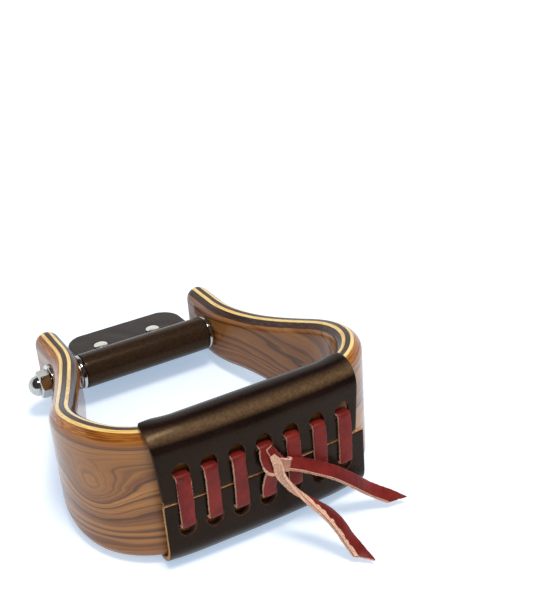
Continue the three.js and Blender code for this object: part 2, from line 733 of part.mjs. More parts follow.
function material(color, roughness, metalness = 0) {
  return new THREE.MeshStandardMaterial({ color, roughness, metalness });
}

const figuredWood = () => material(0x9a6c3c, 0.28);
const darkWood = () => material(0x45302a, 0.3);
const lightWood = () => material(0xe9bd6b, 0.3);
const polishedSteel = () => material(0xc9ccce, 0.12, 1);
const satinSteel = () => material(0xb9b9b4, 0.35, 1);
const darkLeather = () => material(0x2f2420, 0.48);
const redLeather = () => material(0x7a2a26, 0.55);

function named(name, geometry, paint) {
  const mesh = new THREE.Mesh(geometry, paint);
  mesh.name = name;
  return mesh;
}

// Assembly

function bandMeshes() {
  return [
    named('ply_face_inner', plyGeometry(INNER_FACE, INNER_DARK, 3), figuredWood()),
    named('ply_dark_inner', plyGeometry(INNER_DARK, INNER_LIGHT, 1), darkWood()),
    named('ply_light_inner', plyGeometry(INNER_LIGHT, CORE, 1), lightWood()),
    named('ply_core', plyGeometry(CORE, OUTER_LIGHT, 1), darkWood()),
    named('ply_light_outer', plyGeometry(OUTER_LIGHT, OUTER_DARK, 1), lightWood()),
    named('ply_dark_outer', withWasherSeats(plyGeometry(OUTER_DARK, OUTER_FACE, 1)), darkWood()),
    named('ply_face_outer', withWasherSeats(plyGeometry(OUTER_FACE, HALF_BAND, 3)), figuredWood()),
  ];
}

function hardwareMeshes() {
  return [
    named('bolt', boltGeometry(), polishedSteel()),
    named('cap_nut', capNutGeometry(), polishedSteel()),
    named('washer_nut_side', washerGeometry(-1), polishedSteel()),
    named('washer_head_side', washerGeometry(1), polishedSteel()),
    named('roller_tube', rollerTubeGeometry(), satinSteel()),
    named('roller_ring_left', ringGeometry(-1), polishedSteel()),
    named('roller_ring_right', ringGeometry(1), polishedSteel()),
    named('bar_wrap', barWrapGeometry(), darkLeather()),
    named('flap_rivet_left', rivetGeometry(-1), satinSteel()),
    named('flap_rivet_right', rivetGeometry(1), satinSteel()),
  ];
}

function leatherMeshes() {
  return [
    named('tread_cover', treadCoverGeometry(), darkLeather()),
    named('lace_left', laceHalfGeometry(-1, 1), redLeather()),
    named('lace_right', laceHalfGeometry(1, -1), redLeather()),
    named('lace_knot', knotGeometry(), redLeather()),
  ];
}

/** Corners of the given meshes as [y, z] pairs in the stirrup's own axes. */
function sideView(meshes) {
  const points = [];
  for (const { geometry } of meshes) {
    const { position } = geometry.attributes;
    for (let i = 0; i < position.count; i += 1) {
      points.push([position.getY(i), position.getZ(i)]);
    }
  }
  return points;
}

/** The lean at which the tread's low edge and the neck's low edge touch the bench together. */
function restingLean(points) {
  const middle = BAR_Y / 2;
  const lowest = (angle, part) => part.reduce(
    (low, [y, z]) => Math.min(low, z * Math.cos(angle) - y * Math.sin(angle)), Infinity,
  );
  const tread = points.filter(([y]) => y < middle);
  const neck = points.filter(([y]) => y >= middle);
  let least = 0;
  let most = 30 * DEGREE;
  for (let i = 0; i < 40; i += 1) {
    const angle = (least + most) / 2;
    if (lowest(angle, neck) > lowest(angle, tread)) {
      least = angle;
    } else {
      most = angle;
    }
  }
  return (least + most) / 2;
}

function assemble() {
  const band = bandMeshes();
  const leather = leatherMeshes();
  const lying = new THREE.Group();
  lying.add(...band, ...hardwareMeshes(), ...leather);
  lying.rotation.x = -restingLean(sideView([...band, ...leather]));
  lying.updateMatrixWorld(true);
  const box = new THREE.Box3().setFromObject(lying, true);
  lying.position.set(-(box.min.x + box.max.x) / 2, -(box.min.y + box.max.y) / 2, -box.min.z);
  lying.updateMatrixWorld(true);
  const knot = lying.localToWorld(KNOT_CENTRE.clone());
  const rightTail = tailGeometry(knot, RIGHT_TAIL, RIGHT_TAIL_REST, RIGHT_TAIL_TURN);
  const lowTail = tailGeometry(knot, LOW_TAIL, LOW_TAIL_REST, LOW_TAIL_TURN);
  const stirrup = new THREE.Group();
  stirrup.add(lying);
  stirrup.add(named('lace_tail_right', rightTail, redLeather()));
  stirrup.add(named('lace_tail_low', lowTail, redLeather()));
  return stirrup;
}

export default assemble();
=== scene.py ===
"""A laminated wooden stirrup with a laced leather tread cover, lying on a white bench."""
import json
import math
from contextlib import contextmanager

import bmesh
import bpy
import numpy as np
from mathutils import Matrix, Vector


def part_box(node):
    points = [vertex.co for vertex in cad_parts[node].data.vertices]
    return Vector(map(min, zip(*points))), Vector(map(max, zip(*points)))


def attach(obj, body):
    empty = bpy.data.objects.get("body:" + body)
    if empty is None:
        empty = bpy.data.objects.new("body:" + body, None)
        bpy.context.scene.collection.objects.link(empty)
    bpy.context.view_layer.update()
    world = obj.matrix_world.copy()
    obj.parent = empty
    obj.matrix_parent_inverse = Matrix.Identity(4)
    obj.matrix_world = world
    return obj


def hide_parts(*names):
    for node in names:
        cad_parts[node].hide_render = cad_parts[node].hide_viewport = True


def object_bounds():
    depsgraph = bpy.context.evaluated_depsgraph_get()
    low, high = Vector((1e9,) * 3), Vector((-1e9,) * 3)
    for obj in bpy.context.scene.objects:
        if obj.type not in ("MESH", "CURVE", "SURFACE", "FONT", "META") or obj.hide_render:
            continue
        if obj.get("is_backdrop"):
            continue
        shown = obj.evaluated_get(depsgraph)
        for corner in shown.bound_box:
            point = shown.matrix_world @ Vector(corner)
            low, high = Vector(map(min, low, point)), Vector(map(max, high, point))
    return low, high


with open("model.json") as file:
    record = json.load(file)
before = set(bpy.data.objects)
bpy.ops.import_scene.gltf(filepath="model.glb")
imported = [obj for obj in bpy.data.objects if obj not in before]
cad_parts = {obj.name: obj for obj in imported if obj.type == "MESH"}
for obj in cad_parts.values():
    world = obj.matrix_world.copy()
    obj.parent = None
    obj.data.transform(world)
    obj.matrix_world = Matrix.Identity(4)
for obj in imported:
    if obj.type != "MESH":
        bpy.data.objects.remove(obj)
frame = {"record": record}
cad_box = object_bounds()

# Sizes of the stirrup are in millimetres, and to_world turns them into metres. Camera and light are in metres
MM = 0.001
DEGREE = math.pi / 180

# Plies of the band, from either face to the core
FACE_VENEER = 1.0
DARK_PLY = 2.6
LIGHT_PLY = 1.7
CORE_PLY = 2.4
GLUE_LINE = 0.05
HALF_BAND = FACE_VENEER + DARK_PLY + LIGHT_PLY + CORE_PLY / 2

# Centre line of the loop: flat tread, corner, shoulder, straight leg, neck bend, tip
NECK_INSIDE = 76.8
CORNER_RADIUS = 35.3
CORNER_TURN = 72 * DEGREE
SHOULDER_RADIUS = 46.9
SHOULDER_TURN = 38 * DEGREE
LEG_STRAIGHT = 52.8
NECK_RADIUS = 57
TIP_LENGTH = 26.2
TIP_CORNER = 7.5
BOLT_BELOW_BEND = 3
WAIST_X = NECK_INSIDE / 2 + HALF_BAND
SHOULDER_HEADING = CORNER_TURN + SHOULDER_TURN
NECK_TURN = SHOULDER_HEADING - math.pi / 2
TREAD_FLAT = (
    WAIST_X
    - CORNER_RADIUS * math.sin(CORNER_TURN)
    - SHOULDER_RADIUS * (math.sin(SHOULDER_HEADING) - math.sin(CORNER_TURN))
    - LEG_STRAIGHT * math.cos(SHOULDER_HEADING)
    - NECK_RADIUS * (math.sin(SHOULDER_HEADING) - 1)
)
BAR_Y = (
    HALF_BAND
    + CORNER_RADIUS * (1 - math.cos(CORNER_TURN))
    + SHOULDER_RADIUS * (math.cos(CORNER_TURN) - math.cos(SHOULDER_HEADING))
    + LEG_STRAIGHT * math.sin(SHOULDER_HEADING)
    + NECK_RADIUS * math.sin(NECK_TURN)
    - BOLT_BELOW_BEND
)
TREAD_WIDTH = 64.8
NECK_WIDTH = 33
FLARE_START = 19
FLARE_BELOW_BAR = 17
FLARE_END = BAR_Y - FLARE_BELOW_BAR
EDGE_LEAN = 0.1
STATION_STEP = 1.5

# Bolt, nut, washers, roller and leather wrap on the bar
BOLT_RADIUS = 3.95
CLEARANCE = 0.3
BOLT_BORE = BOLT_RADIUS + CLEARANCE
HEX_FLATS = 12.7
HEX_CORNER = HEX_FLATS / math.sqrt(3)
HEX_BEVEL = 0.25
HEAD_HEIGHT = 5.3
HEAD_CHAMFER = 1.4
END_CHAMFER = (0.8, 1)
NUT_HEX_HEIGHT = 5.9
NUT_DOME_RADIUS = 5.3
NUT_DOME_HEIGHT = 5.1
NUT_THREAD_DEPTH = 8.2
NUT_FOOT_CHAMFER = (0.6, 0.7)
NUT_TOP_CHAMFER = (0.6, 1.1)
WASHER_RADIUS = 9.2
WASHER_THICKNESS = 1.5
SEAT_X = WAIST_X + HALF_BAND + CLEARANCE
NUT_FACE_X = SEAT_X + WASHER_THICKNESS + CLEARANCE
TUBE_RADIUS = 7.0
TUBE_BORE = 4.5
RING_RADIUS = 8.9
RING_THICKNESS = 2.0
RING_TO_WOOD = 0.8
RING_OUTER_X = NECK_INSIDE / 2 - RING_TO_WOOD
WRAP_LEATHER = 1.9
WRAP_SLIT = 0.2
WRAP_HALF = RING_OUTER_X - RING_THICKNESS - CLEARANCE
WRAP_RADIUS = TUBE_RADIUS + CLEARANCE + WRAP_LEATHER / 2
WRAP_OUTER = WRAP_RADIUS + WRAP_LEATHER / 2
FLAP_REACH = 28.8
FLAP_LENGTH = WRAP_OUTER + FLAP_REACH
FLAP_INSET = 2.4
FLAP_CORNER = 12
CREASE_INSIDE = 4
FLAP_CREASE = CREASE_INSIDE + WRAP_LEATHER / 2
FLAP_DROOP = 2 * DEGREE
RIVET_SPACING = 30.8
RIVET_SHIFT = -2.1
RIVET_FROM_WRAP = 9.4
RIVET_FROM_BAR = WRAP_OUTER + RIVET_FROM_WRAP
RIVET_CAP_RADIUS = 3.7
RIVET_CAP_HEIGHT = 1.1
RIVET_SHANK_RADIUS = 1.6

# Leather cover laced round the tread
COVER_LEATHER = 2.4
FOLD_LEATHER = 1.8
COVER_OVERHANG = 17.4
COVER_HALF = TREAD_FLAT + COVER_OVERHANG
COVER_BOW = 2.4
COVER_SEAM = 1.2
LOW_PANEL_SHIFT = 2.1
SEAM_TRIM = 0.045
INSIDE_TRIM = 0.3
LACE_GAP = 3.4
COVER_FRONT = LACE_GAP + COVER_LEATHER
LOW_RADIUS = HALF_BAND + LACE_GAP
HIGH_RADIUS = HALF_BAND + CLEARANCE
FOLD_EASE = 0.2
HIGH_Z = TREAD_WIDTH / 2 - HALF_BAND + FOLD_EASE
LOW_Z = HIGH_Z + HIGH_RADIUS - LOW_RADIUS

# Lace
LACE_WIDTH = 6.4
LACE_THICKNESS = 1.6
LACE_BARS = 7
LACE_END_MARGIN = 10
MIDDLE_BAR = LACE_BARS // 2
LACE_PITCH = (COVER_HALF - LACE_END_MARGIN) / MIDDLE_BAR
LACE_BEND = CLEARANCE + LACE_THICKNESS / 2
LACE_TUCK = 6
LACE_CROWN = 0.25
SLOT_HALF = 4.0
SLOT_HEIGHT = 6.6
SLOT_FROM_SEAM = 11.8
SLOT_SHIFTS = (1.6, 0.8, 0.2, 0.0, 0.0, 0.2, 0.6)


def slot_x(column):
    """Place of a column of slots along the tread, counted from the middle one. They are punched by eye."""
    return column * LACE_PITCH + SLOT_SHIFTS[column + MIDDLE_BAR]


# Axes of the loop in the shared frame: x across the tread, y from it up to the bar, z through the depth
X_AXIS = np.array([1.0, 0.0, 0.0])
Y_AXIS = np.array(frame["record"]["mounts"][0]["axis"], float)
Y_AXIS /= np.linalg.norm(Y_AXIS)
Z_AXIS = np.cross(X_AXIS, Y_AXIS)
AXES = np.array([X_AXIS, Y_AXIS, Z_AXIS])


def middle(node):
    low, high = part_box(node)
    return np.array((low + high) / 2)


ORIGIN = middle("roller_tube") - BAR_Y * MM * Y_AXIS
KNOT = middle("lace_knot") / MM


def to_world(points):
    """Metres in the shared frame from millimetres in the loop's own axes."""
    return ORIGIN + MM * (np.asarray(points, float) @ AXES)


def to_local(points):
    """Millimetres in the loop's own axes from millimetres in the shared frame."""
    return (np.asarray(points, float) - ORIGIN / MM) @ AXES.T


def add_object(name, data):
    made = bpy.data.objects.new(name, data)
    bpy.context.scene.collection.objects.link(made)
    return made


def stand(made, place, aim):
    """Puts the camera or a lamp at one place, turned to another."""
    made.location = place
    made.rotation_mode = "QUATERNION"
    made.rotation_quaternion = (Vector(aim) - Vector(place)).to_track_quat("-Z", "Y")


# Camera, set where the photograph was taken

CAMERA_PLACE = (-0.1692, -0.3778, 0.3431)
CAMERA_AIM = (0.1036, 0.0837, 0.0)
IMAGE_WIDTH = 557
IMAGE_HEIGHT = 600
FOCAL_PIXELS = 1035
SENSOR = 36
CLIP_RANGE = (0.01, 50)


def make_camera():
    data = bpy.data.cameras.new("camera")
    data.sensor_fit = "AUTO"
    data.sensor_width = SENSOR
    data.lens = FOCAL_PIXELS * SENSOR / max(IMAGE_WIDTH, IMAGE_HEIGHT)
    data.clip_start, data.clip_end = CLIP_RANGE
    camera = add_object("camera", data)
    stand(camera, CAMERA_PLACE, CAMERA_AIM)
    bpy.context.scene.camera = camera


# Numbers and noise

TINY = 1e-12
NOISE_TABLE = 256
NOISE_START = 1000
WAVES = 6
WAVE_REACHES = (0.7, 1.5)
WAVE_PEAK = 4


def unit(vectors):
    return vectors / np.maximum(np.linalg.norm(vectors, axis=-1, keepdims=True), TINY)


def round_angles(sides):
    return [2 * math.pi * i / sides for i in range(sides)]


def run_length(places):
    """Distance along a line of places, from the first to each."""
    return np.concatenate([[0], np.cumsum(np.linalg.norm(np.diff(places, axis=0), axis=1))])


def smoothstep(value, low, high):
    t = np.clip((value - low) / (high - low), 0, 1)
    return t * t * (3 - 2 * t)


def wander(at, wavelength, seed):
    """Smooth noise from -1 to 1 along one number, the same in every run."""
    table = np.random.RandomState(seed).uniform(-1, 1, NOISE_TABLE + 1)
    place = np.asarray(at, float) / wavelength + NOISE_START
    low = np.floor(place).astype(int)
    t = smoothstep(place - low, 0, 1)
    return table[low % NOISE_TABLE] * (1 - t) + table[(low + 1) % NOISE_TABLE] * t


def rolling(across, along, wavelength, seed):
    """Smooth noise from about -1 to 1 over two numbers."""
    total = np.zeros(np.broadcast(across, along).shape)
    random = np.random.RandomState(seed)
    for _ in range(WAVES):
        angle = random.uniform(0, math.pi)
        reach = wavelength * random.uniform(*WAVE_REACHES)
        phase = random.uniform(0, 2 * math.pi)
        place = across * math.cos(angle) + along * math.sin(angle)
        total = total + np.sin(place * 2 * math.pi / reach + phase)
    return total / WAVE_PEAK


def smooth_rows(keys, step):
    """Rows of numbers spaced evenly on a smooth curve through the key rows, which start with a place."""
    keys = np.asarray(keys, float)
    at = run_length(keys[:, :3])
    slope = np.gradient(keys, at, axis=0)
    s = np.linspace(0, at[-1], max(2, int(round(at[-1] / step)) + 1))
    i = np.clip(np.searchsorted(at, s, side="right") - 1, 0, len(at) - 2)
    span = (at[i + 1] - at[i])[:, None]
    t = ((s - at[i])[:, None]) / span
    return (
        keys[i] * (2 * t**3 - 3 * t**2 + 1)
        + slope[i] * span * (t**3 - 2 * t**2 + t)
        + keys[i + 1] * (3 * t**2 - 2 * t**3)
        + slope[i + 1] * span * (t**3 - t**2)
    )


# Meshes

SAME_PLACE = 1e-7
SHARP_ANGLE = 40
BEVEL_ANGLE = 30
BEVEL_STEPS = 3
ROUND_SIDES = 64
FINE_SIDES = 96
CORNER_STEPS = 4
CORNER_ROOM = 2.05
RIM_STEPS = 6
EDGE_FROM = 0.55


def grid_faces(rows, cols, rows_join=False, cols_join=False):
    """Quads over rows of points, where the last row or column may join the first."""
    faces = []
    for i in range(rows if rows_join else rows - 1):
        here, there = i * cols, (i + 1) % rows * cols
        for j in range(cols if cols_join else cols - 1):
            k = (j + 1) % cols
            faces.append((here + j, here + k, there + k, there + j))
    return faces


def capped_tube(levels, count):
    """Faces of a tube closed at both ends, made of levels of points."""
    last = (levels - 1) * count
    caps = [tuple(reversed(range(count))), tuple(range(last, last + count))]
    return grid_faces(levels, count, cols_join=True) + caps


def outward(points, faces):
    """The faces turned so that the closed skin they make faces out."""
    volume = 0.0
    for face in faces:
        a = points[face[0]]
        for j in range(1, len(face) - 1):
            volume += np.dot(a, np.cross(points[face[j]], points[face[j + 1]]))
    return faces if volume > 0 else [tuple(reversed(face)) for face in faces]


def add_values(made, name, values):
    made.data.attributes.new(name, "FLOAT", "POINT").data.foreach_set("value", np.asarray(values, np.float32))


def make_object(name, points, faces, edge=None, world=False):
    """A mesh object from millimetre points, with how far each point is into a cut edge."""
    points = np.asarray(points, float)
    mesh = bpy.data.meshes.new(name)
    placed = points * MM if world else to_world(points)
    mesh.from_pydata(placed.tolist(), [], outward(points - points.mean(axis=0), faces))
    made = add_object(name, mesh)
    if edge is not None:
        add_values(made, "edge", edge)
    return made


@contextmanager
def edited(made):
    """The object's mesh opened for an edit, with its doubled points merged."""
    form = bmesh.new()
    form.from_mesh(made.data)
    bmesh.ops.remove_doubles(form, verts=form.verts, dist=SAME_PLACE)
    yield form
    form.to_mesh(made.data)
    form.free()


def clean_up(made, sharp=SHARP_ANGLE):
    """Shades the mesh smooth, apart from edges sharper than an angle."""
    with edited(made) as form:
        for face in form.faces:
            face.smooth = True
        for line in form.edges:
            line.smooth = len(line.link_faces) == 2 and line.calc_face_angle(0) < sharp * DEGREE


def combine(made, tools, operation="DIFFERENCE"):
    """Cuts, joins or intersects with other objects, which are then gone. Cut faces take their materials."""
    for tool in tools:
        step = made.modifiers.new("step", "BOOLEAN")
        step.operation = operation
        step.solver = "MANIFOLD"
        step.material_mode = "TRANSFER"
        step.object = tool
    graph = bpy.context.evaluated_depsgraph_get()
    mesh = bpy.data.meshes.new_from_object(made.evaluated_get(graph))
    made.modifiers.clear()
    made.data = mesh
    for tool in tools:
        bpy.data.objects.remove(tool)


def finish_piece(made, body, slot, material, replaces=()):
    """Gives a finished piece its material and its body, and hides the CAD nodes it stands for."""
    if not any(made.data.materials):
        made.data.materials.clear()
        made.data.materials.append(material)
    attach(made, body)
    if replaces:
        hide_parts(*replaces)


def boundary(rows, cols):
    """Row and column of each point round the border of a grid, in order."""
    loop = [(0, j) for j in range(cols)]
    loop += [(i, cols - 1) for i in range(1, rows)]
    loop += [(rows - 1, j) for j in range(cols - 2, -1, -1)]
    loop += [(i, 0) for i in range(rows - 2, 0, -1)]
    return np.array(loop)


def thick_sheet(u, v, place, rim, fray=None, squareness=0.55):
    """Points and faces of a closed sheet over a grid of u and v, and how far each point is into its edge.

    place(u, v, w) gives its points, w from -1 to 1 through it. Its border bulges out by rim, and by what fray
    gives at each border point.
    """
    rows, cols = u.shape
    count = rows * cols
    points = [place(u.ravel(), v.ravel(), np.full(count, w)) for w in (1.0, -1.0)]
    edge = [np.zeros(2 * count)]
    loop = boundary(rows, cols)
    border_u, border_v = u[loop[:, 0], loop[:, 1]], v[loop[:, 0], loop[:, 1]]
    out = unit(np.stack([
        np.roll(border_v, -1) - np.roll(border_v, 1),
        np.roll(border_u, 1) - np.roll(border_u, -1),
    ], axis=1))
    centre = np.array([u.mean(), v.mean()])
    if ((np.stack([border_u, border_v], axis=1) - centre) * out).sum() < 0:
        out = -out
    reach = rim + (0 if fray is None else fray(border_u, border_v))
    for k in range(1, RIM_STEPS):
        angle = math.pi / 2 - math.pi * k / RIM_STEPS
        w = math.copysign(abs(math.sin(angle)) ** squareness, math.sin(angle)) if k * 2 != RIM_STEPS else 0.0
        push = reach * math.cos(angle) ** squareness
        points.append(place(border_u + out[:, 0] * push, border_v + out[:, 1] * push, np.full(len(loop), w)))
        edge.append(np.full(len(loop), 1 - smoothstep(w, EDGE_FROM, 1.0)))
    quads = grid_faces(rows, cols)
    faces = quads + [tuple(reversed([x + count for x in quad])) for quad in quads]
    top = (loop[:, 0] * cols + loop[:, 1]).tolist()
    starts = [2 * count + k * len(loop) for k in range(RIM_STEPS - 1)]
    rings = [top, *(range(start, start + len(loop)) for start in starts), [x + count for x in top]]
    for upper, lower in zip(rings, rings[1:]):
        for j in range(len(loop)):
            k = (j + 1) % len(loop)
            faces.append((upper[k], upper[j], lower[j], lower[k]))
    return np.concatenate(points), faces, np.concatenate(edge)


def turned(profile, sides=ROUND_SIDES):
    """Points and faces of a body turned about the bar, from (radius, x) corners, closed or axis to axis."""
    profile = np.asarray(profile, float)
    closed = np.allclose(profile[0], profile[-1])
    if closed:
        profile = profile[:-1]
    points = [
        (x, BAR_Y + radius * math.cos(angle), radius * math.sin(angle))
        for angle in round_angles(sides)
        for radius, x in profile
    ]
    return np.array(points), grid_faces(sides, len(profile), rows_join=True, cols_join=closed)


def rounded(profile, radius):
    """A closed or open profile with its corners rounded."""
    profile = [np.array(p, float) for p in profile]
    closed = np.allclose(profile[0], profile[-1])
    corners = profile[:-1] if closed else profile
    result = []
    for i, corner in enumerate(corners):
        if not closed and i in (0, len(corners) - 1):
            result.append(corner)
            continue
        before, after = corners[i - 1], corners[(i + 1) % len(corners)]
        reach = min(radius, *(np.linalg.norm(end - corner) / CORNER_ROOM for end in (before, after)))
        a = corner + unit(before - corner) * reach
        b = corner + unit(after - corner) * reach
        for t in np.linspace(0, 1, CORNER_STEPS + 1):
            result.append(a * (1 - t) ** 2 + corner * 2 * t * (1 - t) + b * t * t)
    return result + result[:1] if closed else result


def prism_along_bar(radius, from_x, to_x, sides):
    """A cylinder or prism along the bar, closed at both ends."""
    return turned([(0, from_x), (radius, from_x), (radius, to_x), (0, to_x)], sides)


def hardware(name, shape, bevel=0.0):
    """A metal body, with its sharp edges bevelled by a width."""
    made = make_object(name, *shape)
    with edited(made) as form:
        bmesh.ops.dissolve_degenerate(form, edges=form.edges, dist=SAME_PLACE)
        if bevel:
            sharp = [line for line in form.edges if line.calc_face_angle(0) > BEVEL_ANGLE * DEGREE]
            bmesh.ops.bevel(
                form, geom=sharp, offset=bevel * MM, segments=BEVEL_STEPS, profile=0.5, affect="EDGES"
            )
    return made


# Materials


def srgb(red, green, blue):
    """A linear colour from the 0 to 255 values that a screen shows."""
    values = [x / 255 for x in (red, green, blue)]
    return tuple(x / 12.92 if x <= 0.04045 else ((x + 0.055) / 1.055) ** 2.4 for x in values) + (1.0,)


class Nodes:
    """A node tree, with the few kinds of node that the looks are made of."""

    def __init__(self, tree):
        self.tree = tree

    def plug(self, socket, value):
        if isinstance(value, bpy.types.NodeSocket):
            self.tree.links.new(value, socket)
        else:
            socket.default_value = value

    def add(self, kind, inputs, **settings):
        node = self.tree.nodes.new("ShaderNode" + kind)
        for key, value in settings.items():
            setattr(node, key, value)
        for key, value in inputs.items():
            self.plug(node.inputs[key], value)
        return node

    def math(self, operation, first, second):
        return self.add("Math", {0: first, 1: second}, operation=operation).outputs[0]

    def ramp(self, value, stops, interpolation="LINEAR"):
        node = self.add("ValToRGB", {"Fac": value})
        node.color_ramp.interpolation = interpolation
        points = node.color_ramp.elements
        while len(points) < len(stops):
            points.new(0.5)
        for point, (place, colour) in zip(points, stops):
            point.position = place
            point.color = colour
        return node.outputs["Color"]

    def tones(self, value, *stops):
        """A ramp whose stops are a place and the three values of a colour on a screen."""
        return self.ramp(value, [(place, srgb(*colour)) for place, *colour in stops])

    def seen_ray(self):
        """1 for the rays that show the background: to the camera, or by way of gloss or glass."""
        path = self.add("LightPath", {}).outputs
        seen = path["Is Camera Ray"]
        for ray in ("Is Glossy Ray", "Is Transmission Ray"):
            seen = self.math("MAXIMUM", seen, path[ray])
        return seen


class Look(Nodes):
    """A material made of one Principled shader and the nodes that feed it."""

    def __init__(self, name, **settings):
        self.material = bpy.data.materials.new(name)
        self.material.use_nodes = True
        super().__init__(self.material.node_tree)
        self.shader = self.tree.nodes["Principled BSDF"]
        for socket, value in settings.items():
            self.set(socket.replace("_", " "), value)

    def set(self, socket, value):
        self.plug(self.shader.inputs[socket], value)

    def named(self, name, output="Fac"):
        return self.add("Attribute", {}, attribute_name=name).outputs[output]

    def place(self):
        return self.add("TexCoord", {}).outputs["Object"]

    def stretched(self, vector, scale):
        return self.add("Mapping", {"Vector": vector, "Scale": scale}).outputs["Vector"]

    def noise(self, vector, scale, detail=2.0, roughness=0.5):
        values = {"Vector": vector, "Scale": scale, "Detail": detail, "Roughness": roughness}
        return self.add("TexNoise", values).outputs["Fac"]

    def rings(self, value, scale):
        return self.add("TexNoise", {"W": value, "Scale": scale}, noise_dimensions="1D").outputs["Fac"]

    def cells(self, vector, scale):
        return self.add("TexVoronoi", {"Vector": vector, "Scale": scale}).outputs["Distance"]

    def remap(self, value, low, high, to_low=0.0, to_high=1.0):
        values = {"Value": value, "From Min": low, "From Max": high, "To Min": to_low, "To Max": to_high}
        return self.add("MapRange", values).outputs["Result"]

    def total(self, first, first_share, second, second_share):
        parts = [self.math("MULTIPLY", *part) for part in ((first, first_share), (second, second_share))]
        return self.math("ADD", *parts)

    def mix(self, share, first, second):
        node = self.add("Mix", {}, data_type="RGBA")
        for index, value in ((0, share), (6, first), (7, second)):
            self.plug(node.inputs[index], value)
        return node.outputs[2]

    def bump(self, height, strength, distance):
        values = {"Height": height, "Strength": strength, "Distance": distance}
        self.set("Normal", self.add("Bump", values).outputs["Normal"])


LACQUERED = {"Coat_IOR": 1.45, "Roughness": 0.5, "Specular_IOR_Level": 0.1}


def figured_wood():
    """Brown veneer with dark growth lines that follow the figure, under clear lacquer."""
    look = Look("figured_wood", **LACQUERED, Coat_Roughness=0.07)
    band = look.named("band", "Vector")
    edge = look.named("edge")
    ripple = look.noise(look.stretched(band, (0.04, 0.22, 1.0)), 1.0, 1.0, 0.4)
    level = look.math("ADD", look.named("figure"), look.remap(ripple, 0.3, 0.7, -0.16, 0.16))
    wide = look.rings(level, 0.62)
    fine = look.rings(level, 2.1)
    fibre = look.noise(look.stretched(band, (0.16, 5.0, 1.0)), 1.0, 3.0, 0.6)
    brown = (0.3, 114, 68, 34), (0.42, 148, 94, 48), (0.55, 174, 116, 60), (0.72, 192, 132, 70)
    ground = look.tones(wide, *brown)
    streaked = look.mix(look.math("MULTIPLY", look.remap(fine, 0.47, 0.7), 0.74), ground, srgb(74, 44, 28))
    combed = look.mix(look.remap(fibre, 0.52, 0.74, 0.0, 0.3), streaked, srgb(92, 56, 30))
    amber = look.mix(look.remap(edge, 0.1, 0.8, 0.0, 0.8), combed, srgb(176, 100, 26))
    rim_lines = look.math("MULTIPLY", look.remap(fine, 0.45, 0.6), look.remap(edge, 0.3, 0.9))
    look.set("Base Color", look.mix(rim_lines, amber, srgb(104, 46, 10)))
    look.set("Coat Weight", look.remap(look.named("open"), 0.0, 1.0, 0.05, 0.72))
    look.set("Roughness", look.remap(fibre, 0.3, 0.7, 0.42, 0.58))
    look.bump(fibre, 0.12, 0.0002)
    return look.material


def plain_ply(name, dark, middle_tone, light, lacquer=0.8):
    """Edge of one ply: straight fibres along the band, under the same lacquer."""
    look = Look(name, **LACQUERED, Coat_Weight=lacquer, Coat_Roughness=0.08)
    band = look.named("band", "Vector")
    fibre = look.noise(look.stretched(band, (0.09, 1.2, 3.2)), 1.0, 4.0, 0.62)
    patch = look.noise(look.stretched(band, (0.03, 0.1, 0.2)), 1.0)
    mixed = look.total(fibre, 0.7, patch, 0.3)
    look.set("Base Color", look.tones(mixed, (0.36, *dark), (0.5, *middle_tone), (0.64, *light)))
    look.bump(fibre, 0.1, 0.0002)
    return look.material


def dark_leather():
    """Smooth dark brown leather, browner where it is stretched over a fold, with raw tan cut edges. On the
    cover's top folds this lighter brown band is partly the stretched leather's own tone and partly a painted
    highlight.
    """
    look = Look("dark_leather", Specular_IOR_Level=0.16, Specular_Tint=(1.0, 0.72, 0.45, 1))
    place = look.place()
    pores = look.noise(place, 1100, 3.0, 0.6)
    cloud = look.noise(place, 60, 3.0, 0.55)
    fleck = look.noise(place, 700, 3.0, 0.65)
    edge = look.named("edge")
    ground = look.tones(cloud, (0.35, 22, 12, 10), (0.65, 31, 19, 16))
    flecked = look.mix(look.remap(fleck, 0.5, 0.75, 0.0, 0.3), ground, srgb(54, 36, 26))
    # Lighter brown of stretched leather; on the cover's top folds it also paints the highlight
    stretch_tone_and_highlight = look.tones(fleck, (0.3, 84, 62, 44), (0.7, 112, 86, 60))
    stretched = look.mix(look.remap(look.named("stretch"), 0.3, 1.0), flecked, stretch_tone_and_highlight)
    raw = look.tones(look.noise(place, 900, 3.0, 0.6), (0.35, 168, 118, 80), (0.65, 222, 176, 128))
    look.set("Base Color", look.mix(look.remap(edge, 0.35, 0.65), stretched, raw))
    gloss = look.remap(pores, 0.3, 0.7, 0.2, 0.29)
    look.set("Roughness", look.math("MAXIMUM", gloss, look.remap(edge, 0.3, 0.7, 0.0, 0.8)))
    look.bump(look.total(look.cells(place, 1900), 0.6, pores, 0.7), 0.12, 0.00025)
    return look.material


def shaded_slot_wall():
    """Cut wall of a slot through the leather, brown and much darker than the cover's raw tan edges: the tan
    cut leather painted dark as shade inside the slot.
    """
    look = Look("shaded_slot_wall", Roughness=0.75)
    fibre = look.noise(look.place(), 1200, 3.0, 0.6)
    # Dark browns in place of the tan of raw cut leather: painted shade inside the slot
    look.set("Base Color", look.tones(fibre, (0.35, 50, 28, 18), (0.65, 98, 58, 36)))
    look.bump(fibre, 0.3, 0.0003)
    return look.material


